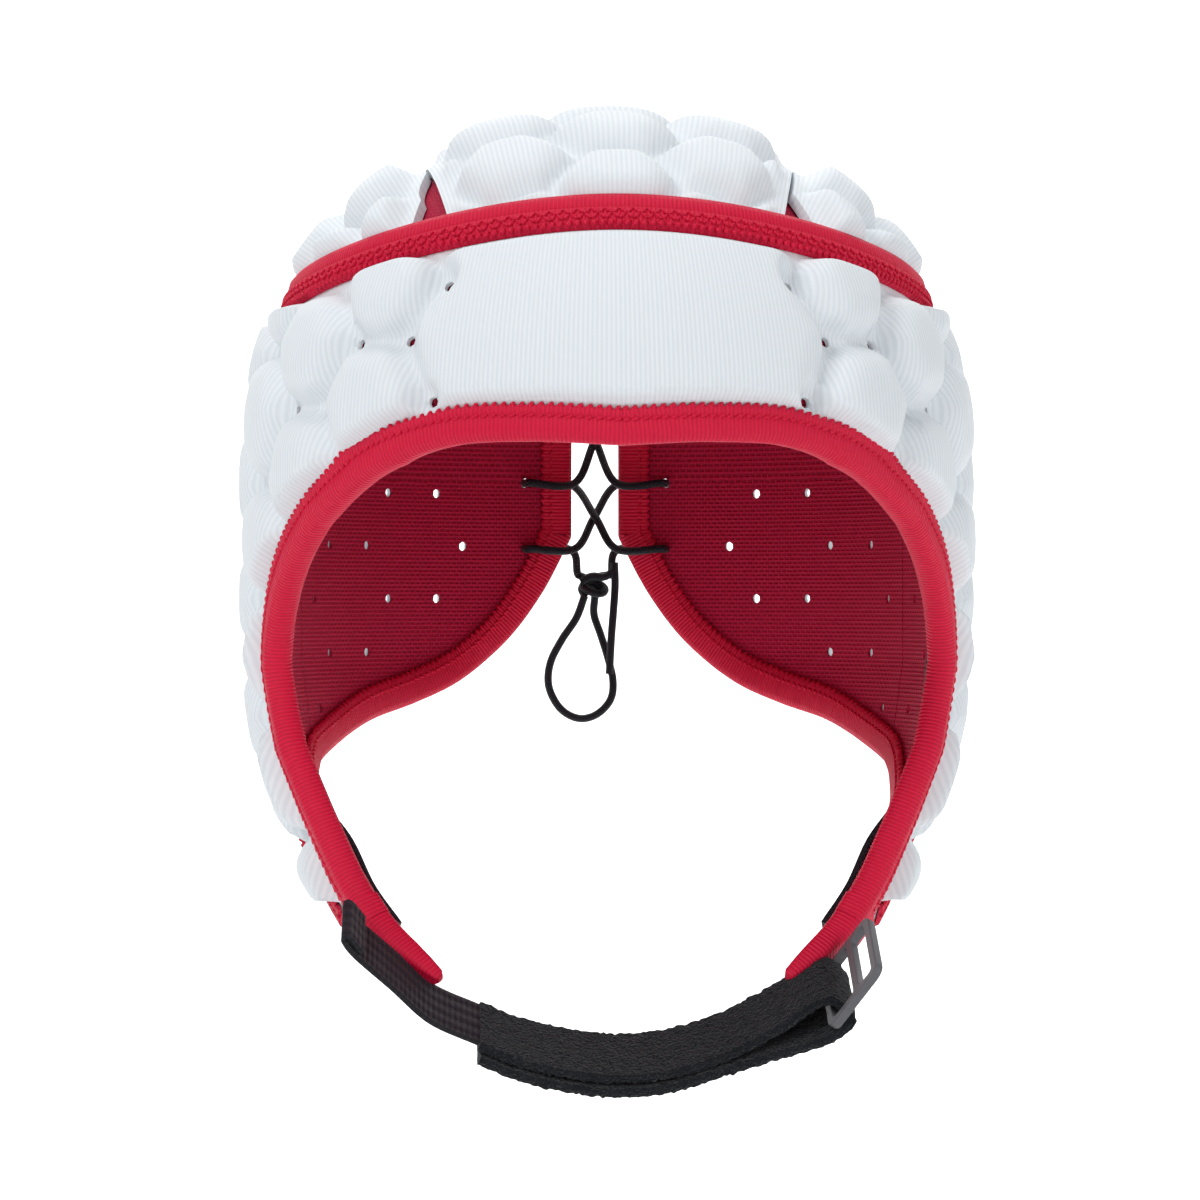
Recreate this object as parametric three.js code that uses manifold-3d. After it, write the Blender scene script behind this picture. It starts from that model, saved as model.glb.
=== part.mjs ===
import * as THREE from 'three';
import { mergeVertices } from 'three/addons/utils/BufferGeometryUtils.js';
import Module from 'manifold-3d';

const wasm = await Module();
wasm.setup();

// Head form, inside the cap. The origin is the inside of the crown, +Z up, the face towards -Y.
const headHalfWidth = 83;
const headHalfLength = 96;
const domeHeight = 82;
const meridianLength = 135;
const skirtHeight = 126;
const sectionPower = 2.3;

// Foam, lining and tape
const gap = 0.35;
const liningGap = 0.55;
const liningThickness = 0.8;
const edgeThickness = 2.6;
const cellThickness = 8.6;
const plateauThickness = 6.6;
const rampWidth = 6;
const cellPitch = 28.6;
const columnTurn = 16.8;
const tapeWidth = 7;
const tapeThickness = 1;
const tapeGap = 1.5;
const topTapeWidth = 8;
const topTapeHeight = 3;
const crownHalfWidth = 43.5;
const crownFirstCell = -0.47 * meridianLength;
const upperFirstCell = -0.37 * meridianLength;
const gapHalfWidth = 8;

// Straps, ring and lace
const webbingWidth = 18;
const webbingThickness = 1.4;
const fleeceWidth = 20;
const fleeceThickness = 2.4;
const innerStrapWidth = 13;
const ringWidth = 27;
const ringHeight = 20;
const ringThickness = 2.2;
const ringBar = 2.2;
const laceDiameter = 2.2;
const eyeletRadius = 1.7;
const eyeletInset = 13;
const knotBehind = 6;

const edgeLength = meridianLength + skirtHeight;
const padBase = liningThickness + liningGap;
const rampStart = tapeWidth + gap;
const ringRadius = (headHalfWidth + headHalfLength) / 2 + padBase + edgeThickness;

// Below the widest level: share of the skirt's height, and share of the half sizes that is left
const skirtRows = [
  { drop: 0, reach: 1 },
  { drop: 0.38, reach: 1 },
  { drop: 0.54, reach: 0.965 },
  { drop: 0.66, reach: 0.905 },
  { drop: 0.78, reach: 0.84 },
  { drop: 0.9, reach: 0.765 },
  { drop: 1, reach: 0.68 },
  { drop: 1.2, reach: 0.5 },
];

// Edges of the cap: turn from the front in degrees, and share of the way from the crown to the flap tip
const faceArch = [
  { turn: 0, drop: 0.503 },
  { turn: 14, drop: 0.5 },
  { turn: 28, drop: 0.503 },
  { turn: 42, drop: 0.523 },
  { turn: 56, drop: 0.567 },
];
const flapFront = [
  { turn: 56, drop: 0.567 },
  { turn: 65, drop: 0.609 },
  { turn: 71.5, drop: 0.651 },
  { turn: 75, drop: 0.693 },
  { turn: 75, drop: 0.735 },
  { turn: 72.5, drop: 0.777 },
  { turn: 69.5, drop: 0.82 },
  { turn: 66.5, drop: 0.862 },
  { turn: 63, drop: 0.904 },
  { turn: 58, drop: 0.943 },
];
const flapRear = [
  { turn: 109, drop: 0.613 },
  { turn: 109, drop: 0.659 },
  { turn: 109, drop: 0.705 },
  { turn: 109, drop: 0.751 },
  { turn: 109, drop: 0.797 },
  { turn: 104, drop: 0.812 },
  { turn: 98, drop: 0.835 },
  { turn: 91.5, drop: 0.866 },
  { turn: 84, drop: 0.904 },
  { turn: 75, drop: 0.943 },
];
const napeEdge = [
  { turn: 109, drop: 0.797 },
  { turn: 120, drop: 0.778 },
  { turn: 131, drop: 0.757 },
  { turn: 143, drop: 0.74 },
  { turn: 153, drop: 0.718 },
  { turn: 162, drop: 0.68 },
  { turn: 169, drop: 0.63 },
  { turn: 174.5, drop: 0.572 },
];
const bandTopFront = 75 / 261;
const bandTopSide = 94 / 261;
const seamTurn = flapRear[0].turn;
const tabFront = { turn: 46, drop: 0.962 };
const tabRear = { turn: 53, drop: 0.962 };

const rad = THREE.MathUtils.degToRad;
const deg = THREE.MathUtils.radToDeg;

function tableValue(rows, key, x, value) {
  let k = 0;
  while (k < rows.length - 2 && rows[k + 1][key] < x) k += 1;
  const a = rows[k];
  const b = rows[k + 1];
  const t = THREE.MathUtils.clamp((x - a[key]) / (b[key] - a[key]), 0, 1);
  return THREE.MathUtils.lerp(a[value], b[value], t);
}

// The inside of the cap at a turn from the front and a length m down the surface from the crown
function seat(turn, m) {
  const phi = rad(turn);
  let reach;
  let z;
  if (m <= meridianLength) {
    const theta = (Math.PI / 2) * (m / meridianLength);
    reach = Math.sin(theta) ** (2 / sectionPower);
    z = -domeHeight * (1 - Math.cos(theta) ** (2 / sectionPower));
  } else {
    const drop = (m - meridianLength) / skirtHeight;
    reach = tableValue(skirtRows, 'drop', drop, 'reach');
    z = -domeHeight - (m - meridianLength);
  }
  return new THREE.Vector3(headHalfWidth * reach * Math.sin(phi), -headHalfLength * reach * Math.cos(phi), z);
}

function slopes(turn, m) {
  const dTurn = 0.5;
  const dM = 0.8;
  const m0 = Math.max(m, 1.5);
  const across = seat(turn + dTurn, m0).sub(seat(turn - dTurn, m0)).divideScalar(2 * dTurn);
  const down = seat(turn, m0 + dM).sub(seat(turn, m0 - dM)).divideScalar(2 * dM);
  return { across, down };
}

function outward(turn, m) {
  if (m < 1.5) return new THREE.Vector3(0, 0, 1);
  const { across, down } = slopes(turn, m);
  return down.cross(across).normalize();
}

function lifted(p, height) {
  return seat(p.turn, p.m).addScaledVector(outward(p.turn, p.m), height);
}

// A point moved along the surface by a small vector
function slid(p, step) {
  const { across, down } = slopes(p.turn, p.m);
  const aa = across.dot(across);
  const ad = across.dot(down);
  const dd = down.dot(down);
  const sa = step.dot(across);
  const sd = step.dot(down);
  const det = aa * dd - ad * ad;
  return { turn: p.turn + (sa * dd - sd * ad) / det, m: p.m + (sd * aa - sa * ad) / det };
}

const atDrop = (row) => ({ turn: row.turn, m: row.drop * edgeLength });

function alongRows(rows, t) {
  const x = THREE.MathUtils.clamp(t, 0, 1) * (rows.length - 1);
  const k = Math.min(rows.length - 2, Math.floor(x));
  const a = atDrop(rows[k]);
  const b = atDrop(rows[k + 1]);
  return { turn: THREE.MathUtils.lerp(a.turn, b.turn, x - k), m: THREE.MathUtils.lerp(a.m, b.m, x - k) };
}

function blend(a, b, t) {
  return { turn: THREE.MathUtils.lerp(a.turn, b.turn, t), m: THREE.MathUtils.lerp(a.m, b.m, t) };
}

function bandTop(turn) {
  const t = THREE.MathUtils.smoothstep(Math.abs(turn), 0, 95);
  return { turn, m: THREE.MathUtils.lerp(bandTopFront, bandTopSide, t) * edgeLength };
}

// Height of a cell over the valley, 0 at its border and 1 on top
function cellRise(share) {
  const t = THREE.MathUtils.clamp(share / 0.62, 0, 1);
  return Math.sqrt(1 - (1 - t) ** 2);
}

function nearestCells(column, along) {
  const found = [];
  for (let c = Math.floor(column) - 1; c <= Math.floor(column) + 2; c += 1) {
    const shift = c % 2 === 0 ? 0 : 0.5;
    const row = Math.round(along - shift) + shift;
    for (const r of [row - 1, row, row + 1]) {
      found.push({ c, r, d: Math.hypot((column - c) * Math.sqrt(0.75), along - r) });
    }
  }
  return found.sort((a, b) => a.d - b.d);
}

const firstRow = 0.474 * edgeLength;

function bandHeight(p) {
  const column = (Math.abs(p.turn) - columnTurn / 2) / columnTurn;
  const cells = nearestCells(column, (p.m - firstRow) / cellPitch);
  const inPlateau = (cell) => cell.c <= 1 && cell.c >= -2;
  if (inPlateau(cells[0])) {
    const other = cells.find((cell) => !inPlateau(cell));
    const rise = other ? cellRise((other.d - 0.5) * 2) : 1;
    return edgeThickness + (plateauThickness - edgeThickness) * rise;
  }
  const share = cells[1].d - cells[0].d;
  return edgeThickness + (cellThickness - edgeThickness) * cellRise(share);
}

function crownHeight(offset, firstCell) {
  return (p) => {
    const across = Math.abs(p.m * Math.sin(rad(p.turn))) - offset;
    const along = -p.m * Math.cos(rad(p.turn));
    const cells = nearestCells(across / (cellPitch * Math.sqrt(0.75)), (along - firstCell) / cellPitch);
    return edgeThickness + (cellThickness - edgeThickness) * cellRise(cells[1].d - cells[0].d);
  };
}

// A closed wall over a grid of places, between two heights, with the grid's missing places left open
function wallOver({ columns, rows, place, present = () => true, low, high }) {
  const places = [];
  for (let j = 0; j <= rows; j += 1) {
    for (let i = 0; i <= columns; i += 1) places.push(place(i / columns, j, i));
  }
  const id = (i, j) => j * (columns + 1) + i;
  const quads = [];
  const borders = new Map();
  const toggle = (a, b) => {
    const twin = `${b},${a}`;
    if (borders.has(twin)) borders.delete(twin);
    else borders.set(`${a},${b}`, [a, b]);
  };
  for (let j = 0; j < rows; j += 1) {
    for (let i = 0; i < columns; i += 1) {
      if (!present(i, j)) continue;
      const quad = [id(i, j), id(i, j + 1), id(i + 1, j + 1), id(i + 1, j)];
      quads.push(quad);
      quad.forEach((a, k) => toggle(a, quad[(k + 1) % 4]));
    }
  }
  const rimIds = new Set([...borders.values()].flat());
  const rim = [...rimIds].map((a) => seat(places[a].turn, places[a].m));
  const margin = new Set(quads.filter((quad) => quad.some((a) => rimIds.has(a))).flat());
  const used = new Set(quads.flat());
  const inner = new Map();
  const outer = new Map();
  for (const k of used) {
    const p = places[k];
    const base = seat(p.turn, p.m);
    const toEdge = Math.min(...rim.map((r) => r.distanceTo(base)));
    const rise = margin.has(k) ? 0 : THREE.MathUtils.smoothstep(toEdge, rampStart, rampStart + rampWidth);
    const top = low + THREE.MathUtils.lerp(edgeThickness, high(p), rise);
    inner.set(k, lifted(p, low));
    outer.set(k, lifted(p, high.flat ? low + high.flat : top));
  }
  const corners = [];
  const face = (...points) => {
    for (let k = 1; k < points.length - 1; k += 1) corners.push(points[0], points[k], points[k + 1]);
  };
  for (const quad of quads) {
    face(...quad.map((k) => outer.get(k)));
    face(...quad.map((k) => inner.get(k)).reverse());
  }
  for (const [a, b] of borders.values()) face(outer.get(b), outer.get(a), inner.get(a), inner.get(b));
  return facingOut(solidOf(corners));
}

function solidOf(corners) {
  const geometry = new THREE.BufferGeometry().setFromPoints(corners);
  return mergeVertices(geometry, 1e-4);
}

function flatWall(thickness) {
  const height = () => thickness;
  height.flat = thickness;
  return height;
}

function mirrored(geometry) {
  const copy = geometry.clone();
  copy.scale(-1, 1, 1);
  return facingOut(copy);
}

// A closed section swept along stations, each a list of its corners
function sweep(stations) {
  const corners = [];
  const count = stations[0].length;
  for (let k = 0; k < stations.length - 1; k += 1) {
    for (let c = 0; c < count; c += 1) {
      const d = (c + 1) % count;
      const a = stations[k][c];
      const b = stations[k][d];
      const e = stations[k + 1][d];
      const f = stations[k + 1][c];
      corners.push(a, b, e, a, e, f);
    }
  }
  const outline = sectionOutline(stations[0]);
  for (const [a, b, c] of THREE.ShapeUtils.triangulateShape(outline, [])) {
    const first = stations[0];
    const last = stations[stations.length - 1];
    corners.push(first[c], first[b], first[a], last[a], last[b], last[c]);
  }
  return facingOut(solidOf(corners));
}

function sectionOutline(points) {
  const origin = points[0];
  const x = points[1].clone().sub(origin).normalize();
  const normal = new THREE.Vector3();
  points.forEach((p, k) => {
    const q = points[(k + 1) % points.length];
    normal.add(p.clone().sub(origin).cross(q.clone().sub(origin)));
  });
  const y = normal.normalize().cross(x);
  return points.map((p) => new THREE.Vector2(p.clone().sub(origin).dot(x), p.clone().sub(origin).dot(y)));
}

function volumeOf(geometry) {
  const position = geometry.attributes.position;
  const index = geometry.index.array;
  const [a, b, c] = [new THREE.Vector3(), new THREE.Vector3(), new THREE.Vector3()];
  let volume = 0;
  for (let k = 0; k < index.length; k += 3) {
    a.fromBufferAttribute(position, index[k]);
    b.fromBufferAttribute(position, index[k + 1]);
    c.fromBufferAttribute(position, index[k + 2]);
    volume += a.dot(b.cross(c)) / 6;
  }
  return volume;
}

function facingOut(geometry) {
  if (volumeOf(geometry) > 0) return geometry;
  const index = geometry.index.array;
  for (let k = 0; k < index.length; k += 3) {
    const keep = index[k];
    index[k] = index[k + 2];
    index[k + 2] = keep;
  }
  return geometry;
}

// Tape folded round an edge of pad and lining. side is 1 where the pad lies to the left going along.
function foldedTape(path, side) {
  const top = padBase + edgeThickness + tapeGap;
  const outline = [
    { inset: tapeWidth, height: top },
    { inset: tapeWidth, height: top + tapeThickness },
    { inset: -tapeGap - tapeThickness, height: top + tapeThickness },
    { inset: -tapeGap - tapeThickness, height: -tapeGap - tapeThickness },
    { inset: tapeWidth, height: -tapeGap - tapeThickness },
    { inset: tapeWidth, height: -tapeGap },
    { inset: -tapeGap, height: -tapeGap },
    { inset: -tapeGap, height: top },
  ];
  return sweep(sectionsAlong(path, side, outline));
}

function sectionsAlong(path, side, outline) {
  return path.map((p, k) => {
    const before = path[Math.max(0, k - 1)];
    const after = path[Math.min(path.length - 1, k + 1)];
    const along = seat(after.turn, after.m).sub(seat(before.turn, before.m)).normalize();
    const inward = outward(p.turn, p.m).cross(along).multiplyScalar(side);
    return outline.map(({ inset, height }) => lifted(slid(p, inward.clone().multiplyScalar(inset)), height));
  });
}

// Grids of the pads and linings
const archColumns = 8;
const flapColumns = 6;
const frontColumns = 2 * (archColumns + flapColumns);
const bandRows = 7;
const flapRows = 18;
const frontSpan = faceArch[faceArch.length - 1].turn;
const seamGap = gap / ringRadius;

function frontPlace() {
  return {
    columns: frontColumns,
    rows: bandRows + flapRows,
    present: (i, j) => j < bandRows || i < flapColumns || i >= frontColumns - flapColumns,
    place: (u, j, i) => {
      const offset = i - frontColumns / 2;
      const side = Math.sign(offset) || 1;
      const count = Math.abs(offset);
      let p;
      if (count < archColumns || (count === archColumns && j <= bandRows)) {
        const t = count / archColumns;
        const low = alongRows(faceArch, t);
        p = blend(bandTop(frontSpan * t), low, Math.min(1, j / bandRows));
      } else {
        const t = (count - archColumns) / flapColumns;
        const front = alongRows(flapFront, (j - bandRows) / flapRows);
        const rear = alongRows(flapRear, (j - bandRows) / flapRows);
        const turn = THREE.MathUtils.lerp(frontSpan, seamTurn, t);
        const upperEnd = blend(alongRows(flapFront, 0), alongRows(flapRear, 0), t);
        p = j <= bandRows ? blend(bandTop(turn), upperEnd, j / bandRows) : blend(front, rear, t);
      }
      return { turn: side * Math.min(p.turn, seamTurn - deg(seamGap)), m: p.m + (j === 0 ? gap : 0) };
    },
  };
}

const rearColumns = 12;
const rearRows = 9;
// The rear tapes start this far below the top tape
const rearTapeStart = 1.5;

function rearPlace() {
  return {
    columns: rearColumns,
    rows: rearRows,
    place: (u, j) => {
      const low = alongRows(napeEdge, u);
      const endTurn = 180 - deg(Math.asin(gapHalfWidth / headHalfWidth));
      const top = bandTop(THREE.MathUtils.lerp(seamTurn, endTurn, u));
      const p = blend({ turn: top.turn, m: top.m + gap }, low, j / rearRows);
      return { turn: Math.max(p.turn, seamTurn + deg(seamGap)), m: p.m };
    },
  };
}

const crownColumns = 10;
const crownRows = 20;

function crownPlace() {
  const edgeAt = (across, back) => {
    let along = 60;
    for (let k = 0; k < 8; k += 1) {
      const turn = back ? 180 - deg(Math.atan2(across, along)) : deg(Math.atan2(across, along));
      along = Math.sqrt(Math.max(1, (bandTop(turn).m - gap) ** 2 - across ** 2));
    }
    return along;
  };
  return {
    columns: crownColumns,
    rows: crownRows,
    place: (u, j) => {
      const across = THREE.MathUtils.lerp(-crownHalfWidth, crownHalfWidth, u);
      const front = edgeAt(Math.abs(across), false);
      const back = edgeAt(Math.abs(across), true);
      const along = THREE.MathUtils.lerp(-back, front, 1 - j / crownRows) || 0.01;
      return { turn: deg(Math.atan2(across || 0.001, along)), m: Math.hypot(across, along) };
    },
  };
}

const upperColumns = 14;
const upperRows = 6;
const ventLength = 17;
const ventTurn = 43;

function upperPlace() {
  const inner = crownHalfWidth + 2 * gap;
  const front = Math.sqrt((bandTopFront * edgeLength) ** 2 - inner ** 2) - ventLength;
  const back = -Math.sqrt((bandTopSide * edgeLength - 4) ** 2 - inner ** 2);
  const backTurn = 180 - deg(Math.atan2(inner, -back)) - 2.5;
  return {
    columns: upperColumns,
    rows: upperRows,
    place: (u, j) => {
      const edge = bandTop(THREE.MathUtils.lerp(ventTurn, backTurn, u));
      const across = THREE.MathUtils.lerp(inner, (edge.m - gap) * Math.sin(rad(edge.turn)), j / upperRows);
      const start = THREE.MathUtils.lerp(front, back, u);
      const along = THREE.MathUtils.lerp(start, (edge.m - gap) * Math.cos(rad(edge.turn)), j / upperRows);
      return { turn: deg(Math.atan2(across, along)), m: Math.hypot(across, along) };
    },
  };
}

// Holes for the lace, three on each side of the gap
const laceRows = [
  { name: 'upper', drop: 0.445 },
  { name: 'middle', drop: 0.517 },
  { name: 'lower', drop: 0.586 },
];

function eyelet(row) {
  const endTurn = 180 - deg(Math.asin(gapHalfWidth / headHalfWidth));
  return { turn: endTurn - deg(eyeletInset / ringRadius), m: row.drop * edgeLength };
}

function toManifold(geometry) {
  const position = geometry.attributes.position.array;
  const mesh = new wasm.Mesh({
    numProp: 3,
    vertProperties: new Float32Array(position),
    triVerts: new Uint32Array(geometry.index.array),
  });
  return new wasm.Manifold(mesh);
}

function fromManifold(manifold) {
  const mesh = manifold.getMesh();
  const geometry = new THREE.BufferGeometry();
  geometry.setAttribute('position', new THREE.BufferAttribute(new Float32Array(mesh.vertProperties), 3));
  geometry.setIndex(new THREE.BufferAttribute(new Uint32Array(mesh.triVerts), 1));
  return geometry;
}

function drilled(geometry, places) {
  let solid = toManifold(geometry);
  for (const p of places) {
    const bit = new THREE.CylinderGeometry(eyeletRadius, eyeletRadius, 6 * cellThickness, 8);
    bit.deleteAttribute('normal');
    bit.deleteAttribute('uv');
    const turn = new THREE.Quaternion().setFromUnitVectors(new THREE.Vector3(0, 1, 0), outward(p.turn, p.m));
    bit.applyQuaternion(turn);
    bit.translate(...seat(p.turn, p.m).toArray());
    solid = solid.subtract(toManifold(mergeVertices(bit, 1e-4)));
  }
  return fromManifold(solid);
}

// Paths of the tapes
function faceEdge() {
  const half = [];
  for (let k = 0; k <= archColumns; k += 1) half.push(alongRows(faceArch, k / archColumns));
  for (let k = 1; k <= flapRows; k += 1) half.push(alongRows(flapFront, k / flapRows));
  const left = half.slice(1).reverse().map((p) => ({ turn: -p.turn, m: p.m }));
  return [...left, ...half];
}

function rearEdge() {
  const path = [];
  for (let k = 9; k >= 4; k -= 1) path.push(atDrop(flapRear[k]));
  for (let k = 1; k <= rearColumns; k += 1) path.push(alongRows(napeEdge, k / rearColumns));
  const last = path[path.length - 1];
  const topM = bandTopSide * edgeLength + topTapeWidth / 2 + rearTapeStart;
  for (let k = 1; k <= 7; k += 1) path.push({ turn: last.turn, m: THREE.MathUtils.lerp(last.m, topM, k / 7) });
  return path;
}

function topEdge() {
  const path = [];
  for (let turn = -seamTurn; turn <= seamTurn + 0.1; turn += seamTurn / 17) path.push(bandTop(turn));
  return path;
}

function topTape() {
  const base = padBase + edgeThickness + gap;
  const half = topTapeWidth / 2;
  const outline = [
    { inset: -half, height: base },
    { inset: half, height: base },
    { inset: half, height: base + topTapeHeight * 0.5 },
    { inset: 0, height: base + topTapeHeight },
    { inset: -half * 0.8, height: base + topTapeHeight },
  ];
  return sweep(sectionsAlong(topEdge(), 1, outline));
}

function flapTab() {
  const foot = [alongRows(flapFront, 1), alongRows(flapRear, 1)];
  const start = 2 * gap;
  const ends = [atDrop(tabFront), atDrop(tabRear)];
  return wallOver({
    columns: 2,
    rows: 6,
    place: (u, j) => {
      const top = blend(foot[0], foot[1], 0.04 + 0.92 * u);
      const low = blend(ends[0], ends[1], u);
      return blend({ turn: top.turn, m: top.m + start }, low, j / 6);
    },
    low: 0,
    high: flatWall(padBase + edgeThickness),
  });
}

// A flat strap along a list of points, its width along the given directions
function ribbon(stations, width, thickness) {
  const sections = stations.map((s, k) => {
    const before = stations[Math.max(0, k - 1)].at;
    const after = stations[Math.min(stations.length - 1, k + 1)].at;
    const along = after.clone().sub(before).normalize();
    const across = s.across.clone().normalize();
    const face = along.clone().cross(across).normalize();
    const corner = (w, t) => s.at.clone().addScaledVector(across, w).addScaledVector(face, t);
    const [w, t] = [width / 2, thickness / 2];
    return [corner(-w, -t), corner(w, -t), corner(w, t), corner(-w, t)];
  });
  return sweep(sections);
}

function innerStrap() {
  const stations = [];
  const inset = tapeWidth + innerStrapWidth / 2 + 1.5;
  const bow = (innerStrapWidth / 2) ** 2 / (2 * headHalfWidth);
  for (let k = 2; k <= 9; k += 1) {
    const p = atDrop(flapFront[k]);
    const q = atDrop(flapFront[Math.min(9, k + 1)]);
    const o = atDrop(flapFront[k - 1]);
    const along = seat(q.turn, q.m).sub(seat(o.turn, o.m)).normalize();
    const inward = outward(p.turn, p.m).cross(along);
    const room = seat(p.turn, p.m).distanceTo(seat(...Object.values(alongRows(flapRear, k / 9)))) / 2;
    const shift = Math.min(inset, room);
    const at = slid(p, inward.clone().multiplyScalar(shift));
    const near = THREE.MathUtils.smoothstep(inset + tapeWidth - room, 0, tapeWidth / 2);
    const overTape = near * (tapeGap + tapeThickness + gap);
    const normal = outward(at.turn, at.m);
    const across = inward.clone().addScaledVector(normal, -inward.dot(normal));
    stations.push({ at: lifted(at, -gap - overTape - webbingThickness / 2 - bow), across });
  }
  return ribbon(stations, innerStrapWidth, webbingThickness);
}

// Chin strap: points in shares of the strap's half span and depth below the ring, seen from the front
const strapHalfSpan = 0.6386 * headHalfWidth;
const strapDepth = skirtHeight / 6;
const strapTop = -0.978 * (domeHeight + skirtHeight);
const strapPlane = -0.58 * headHalfLength;
const strapLean = 24;
const strapLine = [
  { side: -0.62, fall: 0.62 },
  { side: -0.45, fall: 0.8 },
  { side: -0.22, fall: 0.94 },
  { side: 0, fall: 1 },
  { side: 0.24, fall: 0.95 },
  { side: 0.5, fall: 0.75 },
  { side: 0.75, fall: 0.42 },
  { side: 0.95, fall: 0.12 },
];
const webbingLine = [
  { side: -1.27, fall: -0.68 },
  { side: -1.17, fall: -0.37 },
  { side: -1.01, fall: -0.02 },
  { side: -0.84, fall: 0.36 },
  { side: -0.68, fall: 0.54 },
];

function strapPoint(row, below) {
  return new THREE.Vector3(row.side * strapHalfSpan, strapPlane, strapTop - row.fall * strapDepth - below);
}

const strapAcross = new THREE.Vector3(0, -Math.cos(rad(strapLean)), -Math.sin(rad(strapLean)));

function strapStations(rows, below) {
  return rows.map((row) => ({ at: strapPoint(row, below), across: strapAcross }));
}

// The fold opens round the ring's lower bar
const layerGap = fleeceThickness + 1;
const foldGap = fleeceThickness + 3 * ringThickness + gap;

function chinStrap() {
  const upper = strapStations(strapLine, 0);
  const last = strapLine.length - 1;
  const lower = strapLine.map((row, k) => {
    const opening = THREE.MathUtils.smoothstep(k, last - 2, last);
    return { at: strapPoint(row, THREE.MathUtils.lerp(layerGap, foldGap, opening)), across: strapAcross };
  });
  const nose = strapPoint(strapLine[last], foldGap / 2);
  nose.x += foldGap / 2 + ringBar / 2;
  return ribbon([...upper, { at: nose, across: strapAcross }, ...lower.reverse()], fleeceWidth, fleeceThickness);
}

// The ring stands up out of the fold, along the flap
const ringLean = new THREE.Vector3(0.51, 0, 0.86);

function seatRing(node) {
  const wide = strapAcross;
  const ringUp = ringLean.clone().addScaledVector(wide, -ringLean.dot(wide)).normalize();
  const bar = strapPoint(strapLine[strapLine.length - 1], foldGap / 2);
  bar.x += 0.75 * ringBar;
  node.position.copy(bar).addScaledVector(ringUp, (ringHeight - ringBar) / 2);
  const basis = new THREE.Matrix4().makeBasis(wide, ringUp, wide.clone().cross(ringUp));
  node.quaternion.setFromRotationMatrix(basis);
}

function strapRing() {
  const outline = new THREE.Shape();
  const [w, h] = [ringWidth / 2, ringHeight / 2];
  const corner = 3;
  outline.moveTo(-w + corner, -h);
  outline.lineTo(w - corner, -h);
  outline.quadraticCurveTo(w, -h, w, -h + corner);
  outline.lineTo(w, h - corner);
  outline.quadraticCurveTo(w, h, w - corner, h);
  outline.lineTo(-w + corner, h);
  outline.quadraticCurveTo(-w, h, -w, h - corner);
  outline.lineTo(-w, -h + corner);
  outline.quadraticCurveTo(-w, -h, -w + corner, -h);
  const slots = [
    { low: -h + ringBar, high: 0.5 },
    { low: 0.5 + ringBar, high: h - ringBar },
  ];
  for (const slot of slots) {
    const hole = new THREE.Path();
    hole.moveTo(-w + ringBar, slot.low);
    hole.lineTo(-w + ringBar, slot.high);
    hole.lineTo(w - ringBar, slot.high);
    hole.lineTo(w - ringBar, slot.low);
    hole.closePath();
    outline.holes.push(hole);
  }
  const geometry = new THREE.ExtrudeGeometry(outline, {
    depth: ringThickness,
    bevelEnabled: false,
    curveSegments: 3,
  });
  geometry.deleteAttribute('normal');
  geometry.deleteAttribute('uv');
  geometry.translate(0, 0, -ringThickness / 2);
  return mergeVertices(geometry, 1e-4);
}

// Lace: each hole, side to side and in and out, then the knot, the hanging loop and the free end
const laceOut = padBase + edgeThickness + tapeGap + tapeThickness + laceDiameter / 2 + 2 * gap;
const laceIn = -(tapeGap + tapeThickness + laceDiameter / 2 + 2 * gap);
const knotHeight = -109;
const knotRadius = 4;

function lacePath() {
  const [upper, middle, lower] = laceRows.map(eyelet);
  const at = (hole, side, height, shift = 0) => lifted({ turn: side * (hole.turn + shift), m: hole.m }, height);
  const crossing = (hole, above, side) => {
    const middleHeight = (laceOut + laceIn) / 2 + side * laceDiameter * 0.62;
    return lifted({ turn: 180, m: (hole.m + above.m) / 2 }, middleHeight);
  };
  const past = deg((eyeletInset + laceDiameter) / ringRadius);
  const near = deg((0.35 * laceDiameter) / ringRadius);
  const through = (hole, side, outFirst) => {
    const points = [
      at(hole, side, laceOut, past),
      at(hole, side, laceOut, near),
      at(hole, side, laceOut - laceDiameter),
      at(hole, side, laceIn + laceDiameter / 2),
      at(hole, side, laceIn, near),
      at(hole, side, laceIn, past),
    ];
    return outFirst ? points : points.reverse();
  };
  return [
    new THREE.Vector3(-knotRadius - 0.6, headHalfLength + knotBehind, knotHeight + 2),
    ...through(lower, -1, true),
    crossing(lower, middle, 1),
    ...through(middle, 1, true),
    crossing(middle, upper, 1),
    ...through(upper, -1, true),
    lifted({ turn: 180, m: upper.m }, laceIn),
    ...through(upper, 1, false),
    crossing(middle, upper, -1),
    ...through(middle, -1, false),
    crossing(lower, middle, -1),
    ...through(lower, 1, false),
    new THREE.Vector3(knotRadius + 0.6, headHalfLength + knotBehind, knotHeight + 2),
  ];
}

const loopPoints = [
  [-2.7, 101.6, -112.8],
  [-5, 102, -119],
  [-9, 102, -125],
  [-12.2, 102, -131.5],
  [-12.6, 102, -138],
  [-9.5, 102, -144],
  [-4.5, 102, -146.8],
  [0.5, 102, -145.8],
  [4.4, 102, -141.8],
  [5.2, 102.4, -136.5],
  [3.8, 103.4, -130],
  [1.8, 104.6, -123.5],
  [0, 104.8, -118],
  [0.2, 103.6, -113.1],
];
const tailPoints = [
  [5.5, 100.2, -103.6],
  [5.7, 100, -109.6],
  [5.3, 99.4, -116],
  [4.8, 99.1, -122],
  [4.4, 99, -128],
  [4.1, 99, -134.5],
];

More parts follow.
